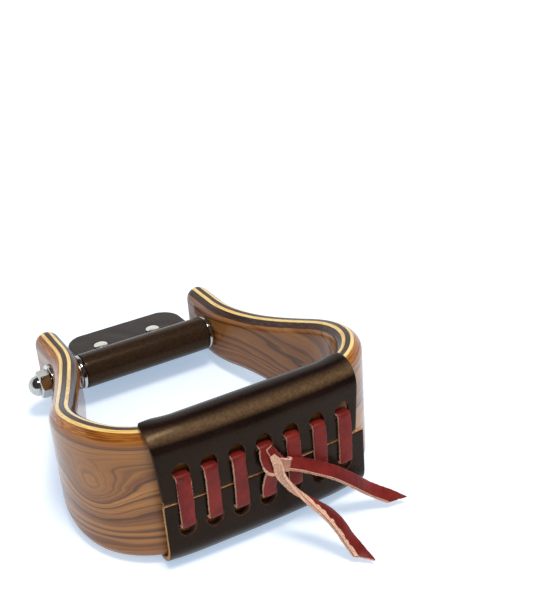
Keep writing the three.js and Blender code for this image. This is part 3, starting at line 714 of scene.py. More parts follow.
def lace_leather():
    """Oxblood lace leather: smooth red face, pale suede back and pale fuzzy edges."""
    look = Look("red_leather", Specular_IOR_Level=0.22)
    place = look.place()
    cloud = look.noise(place, 90, 3.0, 0.55)
    grain = look.noise(place, 1500, 3.0, 0.6)
    red = look.tones(cloud, (0.35, 106, 22, 18), (0.65, 134, 34, 26))
    creased = look.mix(look.remap(grain, 0.5, 0.75, 0.0, 0.25), red, srgb(150, 70, 58))
    suede = look.tones(grain, (0.32, 196, 138, 116), (0.52, 232, 184, 156), (0.7, 244, 212, 188))
    edge = look.remap(look.named("edge"), 0.3, 0.7)
    pale = look.math("MAXIMUM", edge, look.remap(look.named("back"), 0.35, 0.65))
    look.set("Base Color", look.mix(pale, creased, suede))
    look.set("Roughness", look.remap(pale, 0.0, 1.0, 0.42, 0.85))
    look.bump(grain, 0.25, 0.0003)
    return look.material


def bright_metal():
    """Nickel-plated steel, polished, with faint turning marks."""
    look = Look("polished_metal", Metallic=1.0)
    marks = look.noise(look.stretched(look.place(), (9, 1, 1)), 260, 3.0, 0.6)
    look.set("Base Color", look.tones(marks, (0.3, 166, 165, 160), (0.7, 202, 200, 194)))
    look.set("Roughness", look.remap(marks, 0.3, 0.7, 0.08, 0.17))
    look.bump(marks, 0.05, 0.0002)
    return look.material


def satin_metal():
    """Rivet caps and tube: nickel with a softer, slightly dented face."""
    look = Look("satin_steel", Metallic=1.0)
    place = look.place()
    scuff = look.noise(place, 1400, 3.0, 0.6)
    look.set("Base Color", look.tones(scuff, (0.3, 214, 208, 198), (0.7, 240, 236, 228)))
    look.set("Roughness", look.remap(scuff, 0.3, 0.7, 0.2, 0.36))
    look.bump(look.noise(place, 320), 0.2, 0.0006)
    return look.material


WOOD = figured_wood()
DARK = plain_ply("dark_wood", (30, 16, 10), (58, 34, 24), (92, 62, 44), 0.5)
AMBER = plain_ply("amber_wood", (84, 40, 8), (152, 84, 20), (212, 142, 54))
LIGHT = plain_ply("light_wood", (206, 150, 70), (248, 206, 120), (255, 234, 164))
LEATHER = dark_leather()
SHADED_SLOT_WALL = shaded_slot_wall()
LACE = lace_leather()
BRIGHT = bright_metal()
SATIN = satin_metal()


# The laminated band

TIP_STEPS = 10
VENEER_COLUMNS = 30


def half_line():
    """Rows of arc length, x, y, heading and tip angle on the right half of the loop's centre line."""
    rows = [(0.0, 0.0, HALF_BAND, 0.0, 0.0)]

    def run(length, turn=0.0):
        steps = max(1, round(length / STATION_STEP))
        step = length / steps
        for _ in range(steps):
            s, x, y, heading, _ = rows[-1]
            new = heading + turn / steps
            if turn:
                radius = length / turn
                x += radius * (math.sin(new) - math.sin(heading))
                y += radius * (math.cos(heading) - math.cos(new))
            else:
                x += step * math.cos(heading)
                y += step * math.sin(heading)
            rows.append((s + step, x, y, new, 0.0))

    run(TREAD_FLAT)
    for radius, turn in ((CORNER_RADIUS, CORNER_TURN), (SHOULDER_RADIUS, SHOULDER_TURN)):
        run(radius * turn, turn)
    run(LEG_STRAIGHT)
    run(NECK_RADIUS * NECK_TURN, -NECK_TURN)
    run(TIP_LENGTH - TIP_CORNER)
    s, x, y, heading, _ = rows[-1]
    for tip in np.linspace(0, math.pi / 2, TIP_STEPS + 1)[1:]:
        rows.append((s + TIP_CORNER * math.sin(tip), x, y, heading, tip))
    return np.array(rows)


def whole_line():
    """The same rows for the whole loop, from the left tip to the right one, with the side they are on."""
    right = half_line()
    left = right[1:][::-1]
    side = np.concatenate([-np.ones(len(left)), np.ones(len(right))])
    rows = np.concatenate([left, right])
    rows[:, 0] *= side
    return rows, side


LINE, SIDE = whole_line()


def band_width(y):
    t = smoothstep(y, FLARE_START, FLARE_END)
    return TREAD_WIDTH + (NECK_WIDTH - TREAD_WIDTH) * t


def band_row(offset):
    """x, y and half width of the band all along the loop, at an outward offset from the centre line."""
    _, x, y, heading, tip = LINE.T
    inset = HALF_BAND - math.sqrt(max(HALF_BAND**2 - offset**2, 0))
    radius = TIP_CORNER - inset
    width = np.where(tip > 0, NECK_WIDTH, band_width(y))
    at_tip = width / 2 - TIP_CORNER + radius * np.cos(tip)
    half = np.where(tip > 0, at_tip, width / 2 - inset) + EDGE_LEAN * offset * np.cos(heading)
    along = radius * np.sin(tip)
    px = SIDE * (x + np.sin(heading) * offset + np.cos(heading) * along)
    py = y - np.cos(heading) * offset + np.sin(heading) * along
    return px, py, half


def ply_shape(inner, outer, face_side, layers):
    """Points and faces of a ply. face_side is -1 for the inner veneer, 1 for the outer one and 0 between."""
    from_angle = math.asin(max(-1.0, (inner + GLUE_LINE / 2) / HALF_BAND))
    to_angle = math.asin(min(1.0, (outer - GLUE_LINE / 2) / HALF_BAND))
    if face_side < 0:
        from_angle = -math.pi / 2
    if face_side > 0:
        to_angle = math.pi / 2
    offsets = [HALF_BAND * math.sin(a) for a in np.linspace(from_angle, to_angle, layers + 1)]
    rows = [band_row(offset) for offset in offsets]
    ring = [(x, y, -half) for x, y, half in rows]
    shares = np.linspace(-1, 1, VENEER_COLUMNS + 1)[1:-1]
    if face_side > 0:
        x, y, half = rows[-1]
        ring += [(x, y, half * share) for share in shares]
    ring += [(x, y, half) for x, y, half in reversed(rows)]
    if face_side < 0:
        x, y, half = rows[0]
        ring += [(x, y, -half * share) for share in shares]
    points = np.stack([np.stack(p, axis=-1) for p in ring], axis=1)
    stations, count = points.shape[:2]
    faces = grid_faces(stations, count, cols_join=True)
    last = (stations - 1) * count
    high = layers + (VENEER_COLUMNS - 1 if face_side > 0 else 0) + 1
    for a in range(layers):
        b = a + 1
        c, d = high + layers - b, high + layers - a
        cap = [a, b, c, d]
        if face_side > 0 and b == layers:
            cap = [a, *range(b, c + 1), d]
        if face_side < 0 and a == 0:
            cap = [b, c, *range(d, count), a]
        faces.append(tuple(reversed(cap)))
        faces.append(tuple(last + x for x in cap))
    return points.reshape(-1, 3), faces


def on_band(points):
    """Arc length along the loop, depth and outward offset of each point, found at the nearest station."""
    _, x, y, heading, _ = LINE.T
    centre = np.stack([SIDE * x, y], axis=1)
    ahead = np.stack([np.cos(heading), SIDE * np.sin(heading)], axis=1)
    out = np.stack([SIDE * np.sin(heading), -np.cos(heading)], axis=1)
    near = np.array([np.argmin(((centre - point) ** 2).sum(axis=1)) for point in points[:, :2]])
    offset = points[:, :2] - centre[near]
    along = LINE[near, 0] + (offset * ahead[near]).sum(axis=1)
    return np.stack([along, points[:, 2], (offset * out[near]).sum(axis=1)], axis=1)


# Knots and swirls of the veneer: face, place along and across the band, reach both ways, rings, slant
SWIRLS = [
    (1, -71, 3, 10, 7.5, 4.2, 0.0),
    (1, 66, -8, 20, 9, 2.6, 0.2),
    (1, -128, 3, 24, 6, 1.8, 0.0),
    (1, 132, -2, 26, 7, 2.0, 0.1),
    (-1, 78, 6, 17, 10, 2.6, -0.2),
    (-1, 112, -4, 22, 9, 2.2, 0.1),
    (-1, -84, 4, 20, 10, 2.4, 0.2),
    (-1, -140, 0, 20, 6, 1.6, 0.0),
]
RINGS_PER_MM = 0.21
FACE_SHIFT = 11


def veneer_figure(band):
    """Level of the growth rings over the veneer, whose equal lines are the dark streaks."""
    along, across, offset = band.T
    face = np.sign(offset)
    level = across * RINGS_PER_MM + FACE_SHIFT * face
    level = level + 0.8 * wander(along, wavelength=48, seed=3)
    level = level + 0.2 * wander(along + 3 * across, wavelength=31, seed=5)
    level = level + face * 0.5 * wander(along, wavelength=75, seed=9)
    level = level + 0.2 * rolling(along / 4, across, wavelength=18, seed=21)
    for side, place, depth, reach, width, rings, slant in SWIRLS:
        a = (along - place) / reach
        b = (across - depth - slant * (along - place)) / width
        level = level + (face == side) * rings * np.exp(-(a**2 + b**2) / 2)
    return level


# How far the tools that bore the band reach past it, and how far out its washer seats are cut
BORE_OVERRUN = 20
SEAT_REACH = 13
# Band of the veneer under the end of the cover, over which the lacquer fades
COVER_FADE = (COVER_HALF - 5, COVER_HALF - 3)


def make_ply(name, inner, outer, face_side, layers, slot, material, seat):
    made = make_object(name, *ply_shape(inner, outer, face_side, layers))
    reach = WAIST_X + BORE_OVERRUN
    tools = [make_object("bore", *prism_along_bar(BOLT_BORE, -reach, reach, sides=32))]
    if seat:
        near, far = WAIST_X + HALF_BAND, WAIST_X + HALF_BAND + SEAT_REACH
        for ends in ((near, far), (-far, -near)):
            tools.append(make_object("seat", *prism_along_bar(WASHER_RADIUS + CLEARANCE, *ends, ROUND_SIDES)))
    combine(made, tools)
    clean_up(made, sharp=38)
    local = to_local(np.array([v.co for v in made.data.vertices], float) / MM)
    band = on_band(local)
    values = made.data.attributes.new("band", "FLOAT_VECTOR", "POINT").data
    values.foreach_set("vector", band.astype(np.float32).ravel())
    if face_side:
        add_values(made, "figure", veneer_figure(band))
        width = band_width(local[:, 1]) / 2
        add_values(made, "edge", np.clip(1 - (width - np.abs(local[:, 2])) / HALF_BAND, 0, 1))
        under = (face_side > 0) * (1 - smoothstep(np.abs(band[:, 0]), *COVER_FADE))
        add_values(made, "open", 1 - under)
    finish_piece(made, "stirrup", slot, material, [name])


def make_band():
    edge = -HALF_BAND
    for name, thickness, face_side, layers, slot, material, seat in (
        ("ply_face_inner", FACE_VENEER, -1, 6, "figured_wood", WOOD, False),
        ("ply_dark_inner", DARK_PLY, 0, 3, "dark_wood", DARK, False),
        ("ply_light_inner", LIGHT_PLY, 0, 2, "light_wood", LIGHT, False),
        ("ply_core", CORE_PLY, 0, 2, "dark_wood", DARK, False),
        ("ply_light_outer", LIGHT_PLY, 0, 2, "light_wood", LIGHT, False),
        ("ply_dark_outer", DARK_PLY, 0, 3, "dark_wood", AMBER, True),
        ("ply_face_outer", FACE_VENEER, 1, 6, "figured_wood", WOOD, True),
    ):
        make_ply(name, edge, edge + thickness, face_side, layers, slot, material, seat)
        edge += thickness


# Bolt, nut, washers, roller and rings

PLATED = ("polished_metal", BRIGHT)
SATIN_METAL = ("satin_steel", SATIN)


def flip_ends(shape):
    """The same body at the other end of the bar."""
    points, faces = shape
    return points * np.array([-1.0, 1.0, 1.0]), faces


def make_bolt():
    head_to = NUT_FACE_X + HEAD_HEIGHT
    head = hardware("bolt", prism_along_bar(HEX_CORNER, NUT_FACE_X, head_to, sides=6), HEX_BEVEL)
    chamfer = [
        (0, NUT_FACE_X), (HEX_CORNER + 1, NUT_FACE_X), (HEX_CORNER + 1, head_to - HEAD_CHAMFER),
        (HEX_FLATS / 2, head_to), (0, head_to),
    ]
    combine(head, [hardware("chamfer", turned(rounded(chamfer, radius=0.3), FINE_SIDES))], "INTERSECT")
    start, stop = 1 - NUT_FACE_X - NUT_THREAD_DEPTH, NUT_FACE_X + 1
    inset, depth = END_CHAMFER
    shank = [(0, start), (BOLT_RADIUS - inset, start), (BOLT_RADIUS, start + depth), (BOLT_RADIUS, stop)]
    combine(head, [hardware("shank", turned([*shank, (0, stop)], sides=48))], "UNION")
    clean_up(head, sharp=30)
    finish_piece(head, "stirrup", *PLATED, ["bolt"])


def make_cap_nut():
    face, shoulder = NUT_FACE_X, NUT_FACE_X + NUT_HEX_HEIGHT
    nut = hardware("cap_nut", flip_ends(prism_along_bar(HEX_CORNER, face, shoulder, sides=6)), HEX_BEVEL)
    (foot_inset, foot_height), (top_reach, top_height) = NUT_FOOT_CHAMFER, NUT_TOP_CHAMFER
    chamfer = [
        (0, face), (HEX_CORNER - foot_inset, face), (HEX_CORNER + 0.1, face + foot_height),
        (HEX_CORNER + 0.1, shoulder - top_height), (NUT_DOME_RADIUS + top_reach, shoulder), (0, shoulder),
    ]
    edges = hardware("chamfer", flip_ends(turned(rounded(chamfer, radius=0.2), FINE_SIDES)))
    combine(nut, [edges], "INTERSECT")
    dome = [(0, shoulder - 1), (NUT_DOME_RADIUS, shoulder - 1)]
    for angle in np.linspace(0, math.pi / 2, 17)[:-1]:
        dome.append((NUT_DOME_RADIUS * math.cos(angle), shoulder + NUT_DOME_HEIGHT * math.sin(angle)))
    dome.append((0, shoulder + NUT_DOME_HEIGHT))
    combine(nut, [hardware("dome", flip_ends(turned(dome)))], "UNION")
    bore = prism_along_bar(BOLT_BORE, face - 1, face + NUT_THREAD_DEPTH, sides=48)
    combine(nut, [hardware("bore", flip_ends(bore))])
    clean_up(nut, sharp=30)
    finish_piece(nut, "stirrup", *PLATED, ["cap_nut"])


def make_ring(name, body, side, radii, ends, rounding, sharp=SHARP_ANGLE, sides=FINE_SIDES, metal=PLATED):
    """A tube or ring on the bar, between two radii and two places along it."""
    (bore, rim), (near, far) = radii, ends
    profile = [(bore, near), (rim, near), (rim, far), (bore, far), (bore, near)]
    shape = turned(rounded(profile, rounding), sides)
    made = hardware(name, shape if side > 0 else flip_ends(shape))
    clean_up(made, sharp)
    finish_piece(made, body, *metal, [name])


def make_washers():
    radii, ends = (BOLT_BORE, WASHER_RADIUS), (SEAT_X, SEAT_X + WASHER_THICKNESS)
    make_ring("washer_nut_side", "stirrup", -1, radii, ends, rounding=0.35)
    make_ring("washer_head_side", "stirrup", 1, radii, ends, rounding=0.35)


def make_roller():
    end = NECK_INSIDE / 2 - CLEARANCE
    radii, ends = (TUBE_BORE, TUBE_RADIUS), (-end, end)
    make_ring("roller_tube", "bar_roller", 1, radii, ends, rounding=0.3, sides=ROUND_SIDES, metal=SATIN_METAL)
    radii, ends = (TUBE_RADIUS + CLEARANCE, RING_RADIUS), (RING_OUTER_X - RING_THICKNESS, RING_OUTER_X)
    make_ring("roller_ring_left", "bar_roller", -1, radii, ends, rounding=0.55, sharp=50)
    make_ring("roller_ring_right", "bar_roller", 1, radii, ends, rounding=0.55, sharp=50)


# Leather wrap and rivets

WRAP_RIM = 0.45
WRAP_COLUMNS = 64
WRAP_STEPS = 40
FLAP_STEPS = 16
WRAP_DENT = 0.12
WRAP_STRETCH = 0.45
HOLE_SIDES = 24
HOLE_REACH = 6
RIVET_SIDES = 48
RIVET_OVAL = 0.015
RIVET_UNEVEN = 0.05
# Rim of a rivet cap: how far in from its widest, and height over its seat
RIVET_RIM = [(0, 0.3), (0.05, 0.1), (0.3, 0)]
RIVET_DENT = 0.25
RIVET_DENT_REACH = 4.6
RIVET_GAP = 0.12
RIVET_ROUNDING = 0.35
RIVET_PLACES = {side: RIVET_SHIFT + side * RIVET_SPACING / 2 for side in (-1, 1)}


def onto_bar(points):
    """Turns points made round the x axis by the flap's droop, and lifts them to the bar."""
    x, y, z = np.asarray(points, float).T
    return np.stack([
        x,
        BAR_Y + y * math.cos(FLAP_DROOP) + z * math.sin(FLAP_DROOP),
        z * math.cos(FLAP_DROOP) - y * math.sin(FLAP_DROOP),
    ], axis=1)


WRAP_CENTRES = WRAP_RADIUS + FLAP_CREASE
WRAP_ANGLE = math.asin((WRAP_SLIT / 2 + WRAP_LEATHER / 2 + FLAP_CREASE) / WRAP_CENTRES)
ROUND_LENGTH = WRAP_RADIUS * (math.pi - WRAP_ANGLE)
CREASE_LENGTH = FLAP_CREASE * (math.pi / 2 - WRAP_ANGLE)
CREASE_Y = WRAP_CENTRES * math.cos(WRAP_ANGLE)


def wrap_section(v, w):
    """y and z round the wrap's section at path length v from its far side, w through the leather."""
    v = np.asarray(v, float)
    w = np.asarray(w, float) * WRAP_LEATHER / 2
    reach = np.abs(v)
    angle = math.pi - np.minimum(reach, ROUND_LENGTH) / WRAP_RADIUS
    y, z = (WRAP_RADIUS + w) * np.cos(angle), (WRAP_RADIUS + w) * np.sin(angle)
    turn = np.clip(reach - ROUND_LENGTH, 0, CREASE_LENGTH) / FLAP_CREASE
    b = WRAP_ANGLE + math.pi + turn
    creased = reach > ROUND_LENGTH
    y = np.where(creased, CREASE_Y + (FLAP_CREASE - w) * np.cos(b), y)
    z = np.where(creased, WRAP_CENTRES * math.sin(WRAP_ANGLE) + (FLAP_CREASE - w) * np.sin(b), z)
    flat = reach > ROUND_LENGTH + CREASE_LENGTH
    y = np.where(flat, CREASE_Y + reach - ROUND_LENGTH - CREASE_LENGTH, y)
    z = np.where(flat, WRAP_SLIT / 2 + WRAP_LEATHER / 2 + w, z)
    return y, z * np.where(v < 0, -1, 1)


def wrap_half_width(y):
    """Half the wrap's length along the bar at a distance y from it, rounded off at the flap's end."""
    half = WRAP_HALF - FLAP_INSET * smoothstep(y, WRAP_OUTER, WRAP_OUTER + 2 * FLAP_INSET)
    past = np.clip((y - (FLAP_LENGTH - FLAP_CORNER)) / FLAP_CORNER, 0, 1)
    return half - FLAP_CORNER * (1 - np.sqrt(1 - past**2))


def rivet_hole(x):
    radius = RIVET_SHANK_RADIUS + CLEARANCE
    points = [
        (x + radius * math.cos(angle), RIVET_FROM_BAR + radius * math.sin(angle), z)
        for z in (-HOLE_REACH, HOLE_REACH)
        for angle in round_angles(HOLE_SIDES)
    ]
    return make_object("hole", onto_bar(points), capped_tube(2, HOLE_SIDES))


def make_wrap():
    flat_start = ROUND_LENGTH + CREASE_LENGTH
    corner_start = flat_start + FLAP_LENGTH - FLAP_CORNER - CREASE_Y
    path = [*np.linspace(0, flat_start, WRAP_STEPS), *np.linspace(flat_start, corner_start, FLAP_STEPS)[1:]]
    path += [corner_start + (FLAP_CORNER - WRAP_RIM) * math.sin(a * DEGREE) for a in range(6, 91, 6)]
    path = np.array([-v for v in path[:0:-1]] + path)
    y, _ = wrap_section(path, 0)
    half = wrap_half_width(np.minimum(y, FLAP_LENGTH - 0.02)) - WRAP_RIM
    u = half[:, None] * np.linspace(-1, 1, WRAP_COLUMNS)[None]
    v = np.repeat(path[:, None], WRAP_COLUMNS, axis=1)

    def place(u, v, w):
        y, z = wrap_section(v, w)
        dent = WRAP_DENT * rolling(u, v, wavelength=17, seed=41)
        for x in RIVET_PLACES.values():
            far = np.hypot(u - x, y - RIVET_FROM_BAR)
            dent = dent - RIVET_DENT * np.exp(-((far / RIVET_DENT_REACH) ** 2))
        z = z + np.where(v < 0, -1, 1) * np.where(y > CREASE_Y, np.minimum(dent, 0) * (w > 0), 0)
        return onto_bar(np.stack([u, y, z], axis=1))

    points, faces, _ = thick_sheet(u, v, place, WRAP_RIM)
    made = make_object("bar_wrap", points, faces)
    bent = 1 - smoothstep(points[:, 1] - BAR_Y, WRAP_RADIUS - 2, WRAP_OUTER + 1)
    add_values(made, "stretch", WRAP_STRETCH * bent)
    combine(made, [rivet_hole(x) for x in RIVET_PLACES.values()])
    clean_up(made, sharp=50)
    finish_piece(made, "bar_roller", "dark_leather", LEATHER, ["bar_wrap"])


def make_rivet(name, side, seed):
    """A double-cap rivet, its caps a little dented and out of round."""
    seat = WRAP_SLIT / 2 + WRAP_LEATHER + RIVET_GAP
    dome = RIVET_CAP_HEIGHT - RIVET_ROUNDING
    profile = [(0, -seat - RIVET_CAP_HEIGHT)]
    for angle in np.linspace(math.pi / 2, 0, 16)[1:-1]:
        radius = RIVET_CAP_RADIUS * math.cos(angle) ** 0.8
        profile.append((radius, -seat - RIVET_ROUNDING - dome * math.sin(angle)))
    for inset, height in RIVET_RIM:
        profile.append((RIVET_CAP_RADIUS - inset, -seat - height))
    profile.append((RIVET_SHANK_RADIUS, -seat))
    profile += [(r, -h) for r, h in reversed(profile)]
    points = []
    for angle in round_angles(RIVET_SIDES):
        stretch = 1 + RIVET_OVAL * math.sin(2 * angle + seed)
        points += [(r * stretch * math.cos(angle), r * stretch * math.sin(angle), h) for r, h in profile]
    points = np.array(points)
    dents = RIVET_UNEVEN * rolling(points[:, 0], points[:, 1], wavelength=4, seed=seed)
    points[:, 2] += np.where(np.abs(points[:, 2]) > seat + 0.4, dents, 0)
    points += np.array([RIVET_PLACES[side], RIVET_FROM_BAR, 0])
    made = hardware(name, (onto_bar(points), grid_faces(RIVET_SIDES, len(profile), rows_join=True)))
    clean_up(made, sharp=60)
    finish_piece(made, "bar_roller", *SATIN_METAL, [name])


# Tread cover

FRONT_FLAT = LOW_Z - COVER_SEAM / 2
LOW_ARC = LOW_RADIUS * math.pi / 2
HIGH_ARC = HIGH_RADIUS * math.pi / 2
HALF_PATH = FRONT_FLAT + LOW_ARC + HIGH_ARC + HIGH_Z
COVER_RIM = 0.5
COVER_COLUMNS = 92
COVER_ROWS = 131
COVER_DENT = 0.1
# Each slot's column, counted from the middle one, and the side of the seam it is on
SLOTS = [(column, side) for column in range(-MIDDLE_BAR, MIDDLE_BAR + 1) for side in (-1, 1)]
SLOT_DENT = 0.4
SLOT_DENT_REACH = (5.0, 4.0)
SLOT_CORNER = 0.4
SLOT_STEPS = 16
SLOT_SUNK = 0.3
# How far in from the leather's face the slot's soft rim is, and how much wider the slot is there
SLOT_FLARES = [(-3, 0.6), (0, 0.55), (0.12, 0.3), (0.4, 0.08), (0.8, 0.0), (6, 0.0)]
# Fold of the cover: how far below its top the leather is stretched most, and over what reach. The lighter
# brown band there is partly the stretched leather's tone and partly a painted highlight
FOLD_HIGHLIGHT_TOP = 1.2
FOLD_HIGHLIGHT_REACH = 2.6
# Heights over the seam between which the raw cut edge of the cover stops showing
RAW_EDGE_FADE = (1.1, 1.6)


def cover_section(v, w):
    """y and z round the cover's section, v from the middle of its inside to the seam on either side."""
    reach = np.abs(v)
    t = (np.asarray(w, float) + 1) / 2
    thick, fold = COVER_LEATHER * t, FOLD_LEATHER * t
    y = HALF_BAND + HIGH_RADIUS + thick
    z = np.minimum(reach, HIGH_Z)
    high = math.pi / 2 - np.clip(reach - HIGH_Z, 0, HIGH_ARC) / HIGH_RADIUS
    on_high = reach > HIGH_Z
    y = np.where(on_high, HALF_BAND + (HIGH_RADIUS + thick) * np.sin(high), y)
    z = np.where(on_high, HIGH_Z + (HIGH_RADIUS + fold) * np.cos(high), z)
    low = -np.clip(reach - HIGH_Z - HIGH_ARC, 0, LOW_ARC) / LOW_RADIUS
    on_low = reach > HIGH_Z + HIGH_ARC
    y = np.where(on_low, HALF_BAND + (LOW_RADIUS + thick) * np.sin(low), y)
    z = np.where(on_low, LOW_Z + (LOW_RADIUS + fold) * np.cos(low), z)
    front = reach > HIGH_Z + HIGH_ARC + LOW_ARC
    y = np.where(front, -LACE_GAP - thick, y)
    z = np.where(front, LOW_Z - (reach - HIGH_Z - HIGH_ARC - LOW_ARC), z)
    return y, z * np.where(v < 0, -1, 1)


def cover_bow(x):
    return COVER_BOW * (x / COVER_HALF) ** 2


def cover_place(u, v, w):
    """A point of the cover: u along the tread, v round the section, w through the leather."""
    y, z = cover_section(v, w)
    inner_y, _ = cover_section(v, -np.ones_like(v))
    reach = np.where(
        inner_y > HALF_BAND,
        1 - INSIDE_TRIM * (inner_y - HALF_BAND) / HIGH_RADIUS,
        np.where(z > 0, 1 - SEAM_TRIM * (1 - 2 * z / TREAD_WIDTH), 1),
    )
    along = u * reach + LOW_PANEL_SHIFT * smoothstep(-z, -HIGH_Z, HIGH_Z) * (inner_y > HALF_BAND)
    along = along + LOW_PANEL_SHIFT * (z < 0) * (inner_y <= HALF_BAND)
    past = np.maximum(np.abs(along) - TREAD_FLAT, 0)
    radius = CORNER_RADIUS + HALF_BAND - y
    angle = past / (CORNER_RADIUS + HALF_BAND - inner_y)
    over_x = np.where(past > 0, np.sign(along) * (TREAD_FLAT + radius * np.sin(angle)), along)
    over_y = np.where(past > 0, HALF_BAND + CORNER_RADIUS - radius * np.cos(angle), y)
    blend = smoothstep(y, -COVER_FRONT, HALF_BAND)
    bowed = y + cover_bow(along)
    px = along + (over_x - along) * blend
    py = bowed + (over_y - bowed) * blend
    return np.stack([px, py + cover_dents(px, z, py), z], axis=1)


def cover_dents(x, z, y):
    """How far the lace pulls the front of the cover in round its slots, with slight unevenness elsewhere."""
    front = smoothstep(-y, -HALF_BAND, LACE_GAP - 1)
    dent = COVER_DENT * rolling(x, z, wavelength=24, seed=77)
    across, up = SLOT_DENT_REACH
    for column, side in SLOTS:
        far = ((x - slot_x(column)) / across) ** 2 + ((z - side * SLOT_FROM_SEAM) / up) ** 2
        dent = dent + SLOT_DENT * np.exp(-far)
    return dent * front


def slot_cutter(column, side):
    """Cutter for one lace slot, flared at the face of the leather so that its rim is soft."""
    half, corner = SLOT_HALF, SLOT_CORNER
    outline = [(half - corner, 0), (half, corner)]
    for angle in np.linspace(0, math.pi, SLOT_STEPS + 1):
        up = LACE_THICKNESS + (SLOT_HEIGHT - LACE_THICKNESS) * math.sin(angle)
        outline.append((half * math.cos(angle), up))
    outline = np.array([*outline, (-half, corner), (corner - half, 0)])
    from_centre = outline - np.array([0, SLOT_HEIGHT / 2])
    x = slot_x(column)
    face = -COVER_FRONT + cover_bow(x) + SLOT_SUNK
    points = []
    for depth, flare in SLOT_FLARES:
        grown = outline + flare * unit(from_centre)
        points += [(x + side * across, face + depth, side * (SLOT_FROM_SEAM + up)) for across, up in grown]
    made = make_object("slot", points, capped_tube(len(SLOT_FLARES), len(outline)))
    made.data.materials.append(SHADED_SLOT_WALL)
    return made


def make_cover():
    along = np.linspace(-COVER_HALF + COVER_RIM, COVER_HALF - COVER_RIM, COVER_COLUMNS)
    path = np.linspace(-HALF_PATH + COVER_RIM, HALF_PATH - COVER_RIM, COVER_ROWS)
    v, u = np.meshgrid(path, along, indexing="ij")
    points, faces, edge = thick_sheet(u, v, cover_place, COVER_RIM)
    _, y, z = points.T
    raw = (1 - smoothstep(z, *RAW_EDGE_FADE)) * (y < HALF_BAND)
    made = make_object("tread_cover", points, faces, edge * raw)
    # Band along both top folds of the cover that takes the lighter brown: partly stretched leather, partly a
    # painted highlight
    fold = np.exp(-((np.abs(z) - TREAD_WIDTH / 2 + FOLD_HIGHLIGHT_TOP) / FOLD_HIGHLIGHT_REACH) ** 2)
    add_values(made, "stretch", fold * (y < HALF_BAND + 3))
    made.data.materials.append(LEATHER)
    combine(made, [slot_cutter(*slot) for slot in SLOTS])
    clean_up(made, sharp=55)
    finish_piece(made, "stirrup", "dark_leather", LEATHER, ["tread_cover"])


# Lace

LACE_RIM = 0.3
LACE_COLUMNS = 15
FIBRE_SIDES = 3
FIBRE_ROOT = 0.3
FIBRE_REACH = 0.55
FIBRE_RADII = (0.06, 0.13)
FIBRE_LENGTHS = (0.3, 1.0)
FIBRE_SCATTER = 0.1
FIBRE_SPREAD = 0.8
FIBRE_DROOP = 0.5
FACE_WAVE = 0.05
FRAY_NOISE = 0.15
FRAY_WAVE = 0.12
BLEED_WAVE = 0.35
BLEED_FADE = (0.7, 1.1)


def fibres(places, directions, count, seed):
    """Fine tufts that stand out of a cut edge: closed three-sided spikes."""
    random = np.random.RandomState(seed)
    points, faces = [], []
    for _ in range(count):
        i = random.randint(len(places))
        base = places[i] + random.uniform(-FIBRE_SCATTER, FIBRE_SCATTER, 3)
        direction = unit(directions[i] + random.uniform(-FIBRE_SPREAD, FIBRE_SPREAD, 3))
        across = unit(np.cross(direction, random.uniform(-1, 1, 3)))
        other = np.cross(direction, across)
        radius = random.uniform(*FIBRE_RADII)
        length = FIBRE_REACH * random.uniform(*FIBRE_LENGTHS)
        start = len(points)
        for angle in round_angles(FIBRE_SIDES):
            ring = across * math.cos(angle) + other * math.sin(angle)
            points.append(base - direction * FIBRE_ROOT + radius * ring)
        points.append(base + direction * length)
        faces.append((start, start + 2, start + 1))
        faces += [(start + k, start + (k + 1) % FIBRE_SIDES, start + FIBRE_SIDES) for k in range(FIBRE_SIDES)]
    return points, faces


def twisted(steps):
    """Key rows of a strip from x, y, z, width, turn and crown. Unturned, it lies flat, its smooth face up."""
    steps = np.asarray(steps, float)
    ahead = unit(np.gradient(steps[:, :3], axis=0))
    flat = unit(np.cross(ahead, (0.0, 0.0, 1.0)))
    up = np.cross(flat, ahead)
    turn = steps[:, 4:5] * DEGREE
    return np.hstack([steps[:, :4], flat * np.cos(turn) + up * np.sin(turn), steps[:, 5:6]])


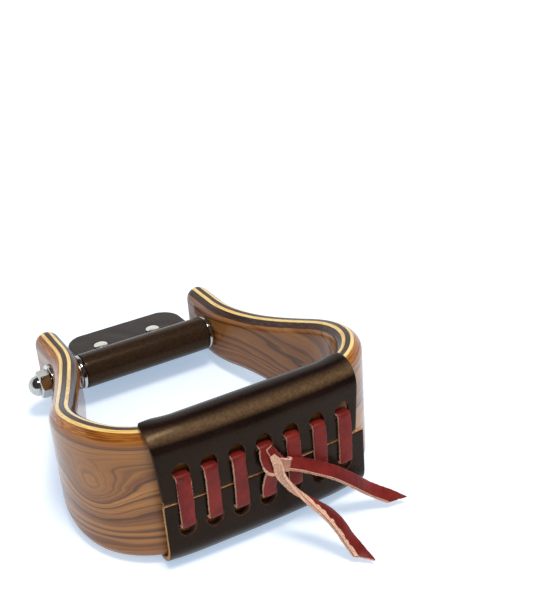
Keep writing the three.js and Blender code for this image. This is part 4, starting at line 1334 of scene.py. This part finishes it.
def strip_shape(keys, seed, tufts, step, slant=(0.0, 0.0), bleed=0.0, stain=0.0):
    """A lace through key rows of place, width, side direction and crown, with its smooth face at w = 1.

    Crown is how far the face is arched. Tufts is how many fibres stand out of a millimetre of its length, and
    step is how far apart its rows of points are. Slant is how far the two ends are cut at an angle, bleed how
    far the raw edge shows on the face along its positive side, and stain how far the red has gone through.
    """
    rows = smooth_rows(keys, step)
    centre, width, crown = rows[:, :3], rows[:, 3], rows[:, 7]
    ahead = unit(np.gradient(centre, axis=0))
    side = rows[:, 4:7]
    side = unit(side - (side * ahead).sum(axis=1, keepdims=True) * ahead)
    face = np.cross(side, ahead)
    at = run_length(centre)
    share = np.linspace(-1, 1, LACE_COLUMNS)
    start, stop = LACE_RIM + abs(slant[0]), at[-1] - LACE_RIM - abs(slant[1])
    v = np.linspace(start, stop, len(at))[:, None] * np.ones(LACE_COLUMNS)
    done = (v - start) / (stop - start)
    v = v + share[None] * (slant[0] * (1 - done) ** 4 + slant[1] * done**4)
    u = share[None] * (np.interp(v, at, width) / 2 - LACE_RIM)

    def between(v, values):
        return np.stack([np.interp(v, at, column) for column in values.T], axis=1)

    def place(u, v, w):
        here = between(v, centre) + between(v, ahead) * (v - np.clip(v, 0, at[-1]))[:, None]
        share = u / (np.interp(v, at, width) / 2)
        back = np.interp(v, at, crown) * share**2 - FACE_WAVE * rolling(v, u, wavelength=5, seed=seed)
        level = w * LACE_THICKNESS / 2 - back
        return here + between(v, side) * u[:, None] + between(v, face) * level[:, None]

    def fray(u, v):
        random = np.random.RandomState(seed)
        noise = random.uniform(-FRAY_NOISE, FRAY_NOISE, len(u))
        return noise + FRAY_WAVE * wander(v, wavelength=3, seed=seed) * np.sign(u)

    points, faces, edge = thick_sheet(u, v, place, LACE_RIM, fray, squareness=0.6)
    grid = u.size
    back = np.zeros(len(points))
    back[grid:2 * grid] = 1 - stain
    if bleed:
        ragged = bleed * (1 + BLEED_WAVE * wander(v, wavelength=1.7, seed=seed + 5))
        from_side = np.interp(v, at, width) / 2 - LACE_RIM - u
        edge[:grid] = (1 - smoothstep(from_side / ragged, *BLEED_FADE)).ravel()
    sides, out = [], []
    for column, sign in ((0, -1), (-1, 1)):
        direction = between(v[:, column], sign * side - face * FIBRE_DROOP)
        sides.append(place(u[:, column], v[:, column], np.zeros(len(at))) + direction * LACE_RIM)
        out.append(direction)
    extra, extra_faces = fibres(np.concatenate(sides), np.concatenate(out), int(tufts * at[-1]), seed)
    count = len(points)
    points = np.concatenate([points, np.array(extra)])
    faces = faces + [tuple(x + count for x in extra_face) for extra_face in extra_faces]
    ones = np.ones(len(extra))
    return points, faces, np.concatenate([edge, ones]), np.concatenate([back, ones]), centre


def make_strip(name, keys, seed, replaces, world=False, **settings):
    """A finished lace piece. Its keys are in the loop's own axes, or in the shared frame with world."""
    points, faces, edge, back, centre = strip_shape(keys, seed, **settings)
    made = make_object(name, points, faces, edge, world)
    add_values(made, "back", back)
    clean_up(made, sharp=70)
    finish_piece(made, "stirrup", "red_leather", LACE, replaces)
    return made, centre


def slot_passage(side):
    """y and z of the lace's middle line through one slot, from the front of the cover to its back."""
    turns = [(LACE_BEND * math.cos(a), LACE_BEND * math.sin(a)) for a in np.linspace(0, math.pi / 2, 5)]
    front = [(-COVER_FRONT - near, side * (SLOT_FROM_SEAM + far)) for near, far in turns]
    return front + [(-LACE_GAP + far, side * (SLOT_FROM_SEAM + near)) for near, far in turns]


# How far each bar of the lace is turned at its upper and lower slot, from left to right
BAR_TURNS = [(-26, 6), (8, 2), (10, -2), (0, 0), (12, 4), (9, 3), (8, 2)]
# Places down a bar of the lace between its slots, and how far it stands off the cover at the middle
BAR_SHARES = (-0.72, -0.3, 0.12, 0.55, 0.8)
BAR_BULGE = 0.3


def lace_keys(direction, side, knot_end):
    """Key rows of one half of the lacing, from the knot outwards."""

    def row(x, y, z, turn=0.0):
        return [x, y + cover_bow(x), z, LACE_WIDTH, side * math.cos(turn), math.sin(turn), 0.0, LACE_CROWN]

    keys = [list(k) for k in knot_end]
    keys += [row(0, y, z) for y, z in slot_passage(side)]
    for step in range(1, MIDDLE_BAR + 1):
        x = slot_x(direction * step)
        upper, lower = BAR_TURNS[MIDDLE_BAR + direction * step]
        keys += [row(x, y, z) for y, z in reversed(slot_passage(-side))]
        for share in BAR_SHARES:
            up = (1 + side * share) / 2
            turn = (upper * up + lower * (1 - up)) * DEGREE
            y = -COVER_FRONT - LACE_BEND - BAR_BULGE * (1 - share**2)
            keys.append(row(x, y, side * share * SLOT_FROM_SEAM, turn))
        keys += [row(x, y, z) for y, z in slot_passage(side)]
    x, y, z = keys[-1][:3]
    keys.append([x, -LACE_GAP + LACE_BEND + cover_bow(x), z - side * LACE_TUCK, *keys[-1][3:]])
    return keys


def make_lacing():
    """Both halves of the lacing. Their ends at the middle run on into the knot."""
    upper_end = [
        (2.4, -8.8, -1.4, 3.4, 0.93, 0.3, 0.2, 0.5),
        (0.9, -9.0, 2.0, 5.0, 0.95, 0.25, 0.15, 0.6),
        (-0.2, -8.8, 5.4, 6.4, 0.98, 0.15, 0.05, 0.5),
        (-0.6, -7.9, 9.0, 6.6, 1.0, 0.05, 0.0, 0.3),
    ]
    lower_end = [
        (2.4, -8.2, 2.6, 4.6, -0.97, -0.2, 0.0, 0.4),
        (1.3, -8.0, -1.4, 6.2, -1.0, -0.1, 0.0, 0.4),
        (0.3, -7.5, -5.8, 6.6, -1.0, 0.0, 0.0, 0.3),
        (-0.3, -7.1, -9.4, 6.5, -1.0, 0.0, 0.0, 0.25),
    ]
    for name, direction, side, knot_end, seed in (
        ("lace_left", -1, 1, upper_end, 11), ("lace_right", 1, -1, lower_end, 12),
    ):
        keys = lace_keys(direction, side, knot_end)
        make_strip(name, keys, seed, [name], tufts=3.5, step=0.5)


def make_knot():
    """The turns of the knot: a strip over its right side, the fold round the right tail, and a loop."""
    over = [
        (0.9, -7.9, 12.6, 3.4, -0.95, -0.3, -0.3, 0.3),
        (2.1, -8.9, 9.8, 4.2, -0.92, -0.3, -0.35, 0.4),
        (3.7, -9.6, 7.0, 4.4, -0.85, -0.3, -0.45, 0.5),
        (5.4, -9.8, 4.6, 4.2, -0.75, -0.3, -0.6, 0.5),
        (6.8, -9.4, 2.8, 3.6, -0.7, -0.3, -0.65, 0.4),
    ]
    fold = [
        (2.0, -9.6, 5.0, 4.0, 0.35, 0.1, 0.93, 0.3),
        (4.2, -10.6, 4.4, 5.2, 0.3, 0.1, 0.95, 0.5),
        (6.4, -11.3, 3.5, 6.0, 0.25, 0.0, 0.96, 0.6),
        (8.1, -11.2, 2.7, 6.0, 0.2, 0.0, 0.97, 0.5),
        (8.7, -10.1, 2.5, 5.6, 0.2, 0.0, 0.97, 0.4),
        (8.0, -9.2, 2.6, 5.0, 0.2, 0.0, 0.97, 0.3),
    ]
    loop = [
        (-2.9, -8.6, 4.6, 1.0, 0.5, -0.6, 0.6, 0.2),
        (-2.0, -9.3, 2.0, 1.2, 0.6, -0.4, 0.7, 0.2),
        (-0.3, -9.6, 0.2, 1.3, 0.3, -0.2, 0.9, 0.2),
        (1.6, -9.5, -0.6, 1.3, 0.1, 0.1, 1.0, 0.2),
        (3.6, -9.0, -0.4, 1.1, 0.0, 0.2, 1.0, 0.2),
    ]
    for name, keys, seed, replaces, stain in (
        ("lace_knot", over, 21, ["lace_knot"], 0.0),
        ("lace_knot_fold", fold, 22, [], 0.48),
        ("lace_knot_loop", loop, 23, [], 0.25),
    ):
        make_strip(name, keys, seed, replaces, tufts=3, step=0.4, stain=stain)


# Loose ends of the lace, from the knot down to the bench: steps away from the knot in x and y, the share of
# the drop still to go, width, turn and crown. Unturned, the lace lies flat with its smooth face up. Turned by
# 90, it stands on edge
RIGHT_TAIL = [
    (5.75, -0.6, 0.97, 5.8, -28, 0.5), (12.0, -2.0, 0.91, 6.6, -31, 0.4),
    (18.5, -3.6, 0.82, 6.8, -34, 0.35), (27.5, -5.5, 0.675, 6.8, -36, 0.35),
    (37.0, -7.6, 0.468, 6.8, -38, 0.35), (46.8, -9.0, 0.231, 6.6, -40, 0.35),
    (55.2, -11.5, 0.078, 6.6, -36, 0.35), (60.9, -16.2, 0.0, 6.2, -32, 0.3),
]
LOW_TAIL = [
    (1.2, -2.9, 0.905, 5.0, 86, 0.6), (3.6, -5.8, 0.8, 5.0, 69, 0.9), (7.2, -9.2, 0.69, 5.2, 51, 1.4),
    (11.6, -14.5, 0.61, 6.4, 20, 1.6), (15.7, -20.4, 0.5, 7.0, 0, 1.0),
    (18.4, -24.6, 0.375, 7.0, -10, 0.7), (21.2, -28.6, 0.202, 7.0, -11, 0.6),
    (23.6, -32.4, 0.073, 7.0, -12, 0.5), (25.4, -39.3, 0.0, 6.2, -12, 0.4),
]
RIGHT_REST = 2.6
LOW_REST = 2.2

# Where each end runs inside the knot, in the loop's own axes: place, width, turn and crown
RIGHT_ROOT = [(4.6, -9.2, 3.4, 4.6, -28, 0.5)]
LOW_ROOT = [
    (1.0, -9.8, 9.4, 2.4, 118, 0.3), (1.9, -10.4, 7.4, 3.6, 112, 0.4), (3.0, -11.2, 4.0, 4.4, 100, 0.5),
]


def make_tail(name, root, steps, rest, seed, end_slant, bleed):
    """One loose end, with its root inside the knot."""
    start = to_world([r[:3] for r in root]) / MM
    keys = [[*place, *row[3:]] for place, row in zip(start, root)]
    for dx, dy, share, *section in steps:
        keys.append([KNOT[0] + dx, KNOT[1] + dy, rest + (KNOT[2] - rest) * share, *section])
    made, centre = make_strip(
        name, twisted(keys), seed, [name], world=True,
        tufts=4, step=0.5, slant=(0.0, end_slant), bleed=bleed,
    )
    float(run_length(centre)[-1]) * MM


# Floor, light and background

WHITE = (1, 1, 1, 1)
FLOOR_SIZE = 4.0
FLOOR_TONES = [(0.3, (0.80, 0.80, 0.80, 1)), (0.7, (0.84, 0.84, 0.83, 1))]
FLOOR_GLOW = 0.56
GLOW_COLOUR = (0.58, 0.76, 1.0, 1)
WORLD_COLOUR = (0.88, 0.95, 1.0, 1)
WORLD_LIGHT = 0.62
# Height at which the shown wall ends and the ceiling starts, and how far both lean back
WALL_HEIGHT = 0.12
CEILING_HEIGHT = 0.32
CEILING_COLOUR = (0.06, 0.06, 0.07, 1)
WALL_LEAN = 0.6
LAMP_PLACE = (0.1, -0.7, 3.0)
LAMP_SIZE = 0.7
LAMP_POWER = 48
LAMP_COLOUR = (1.0, 0.955, 0.91)


def make_floor():
    """White bench. It shows a little whiter than it is lit, and keeps the shadow."""
    mesh = bpy.data.meshes.new("floor")
    square = [(x * FLOOR_SIZE, y * FLOOR_SIZE, 0) for x, y in ((-1, -1), (1, -1), (1, 1), (-1, 1))]
    mesh.from_pydata(square, [], [(0, 1, 2, 3)])
    floor = add_object("floor", mesh)
    look = Look("bench", Roughness=0.8, Specular_IOR_Level=0.1, Emission_Color=GLOW_COLOUR)
    look.set("Base Color", look.ramp(look.noise(look.place(), 3.0), FLOOR_TONES))
    look.set("Emission Strength", look.math("MULTIPLY", look.seen_ray(), FLOOR_GLOW))
    mesh.materials.append(look.material)
    floor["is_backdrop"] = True


def make_world():
    """Even soft light. The camera and the gloss see white walls under a dark ceiling, highest at the back."""
    world = bpy.data.worlds.new("studio")
    bpy.context.scene.world = world
    world.use_nodes = True
    world.node_tree.nodes.clear()
    nodes = Nodes(world.node_tree)
    lit = nodes.add("Background", {"Color": WORLD_COLOUR, "Strength": WORLD_LIGHT}).outputs[0]
    place = nodes.add("SeparateXYZ", {0: nodes.add("TexCoord", {}).outputs["Generated"]}).outputs
    leaning = {0: place["Y"], 1: -WALL_LEAN, 2: place["Z"]}
    height = nodes.add("Math", leaning, operation="MULTIPLY_ADD").outputs[0]
    walls = nodes.ramp(height, [(WALL_HEIGHT, WHITE), (CEILING_HEIGHT, CEILING_COLOUR)], "EASE")
    shown = nodes.add("Background", {"Color": walls}).outputs[0]
    mixed = nodes.add("MixShader", {0: nodes.seen_ray(), 1: lit, 2: shown}).outputs[0]
    nodes.add("OutputWorld", {"Surface": mixed})


def make_lamp():
    data = bpy.data.lights.new("key", "AREA")
    data.shape = "RECTANGLE"
    data.size = data.size_y = LAMP_SIZE
    data.energy = LAMP_POWER
    data.color = LAMP_COLOUR
    stand(add_object("key", data), LAMP_PLACE, (0, 0, 0))


bpy.context.scene.view_settings.view_transform = "Standard"
make_camera()
make_tail("lace_tail_right", RIGHT_ROOT, RIGHT_TAIL, RIGHT_REST, 31, -3.8, 0.3)
make_tail("lace_tail_low", LOW_ROOT, LOW_TAIL, LOW_REST, 32, -3.7, 1.5)
make_band()
make_bolt()
make_cap_nut()
make_washers()
make_roller()
make_wrap()
make_rivet("flap_rivet_left", -1, 1)
make_rivet("flap_rivet_right", 1, 4)
make_cover()
make_lacing()
make_knot()
make_floor()
make_world()
make_lamp()


def corners(box):
    return [list(map(float, corner)) for corner in box]


{"cad": corners(cad_box), "visual": corners(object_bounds())}
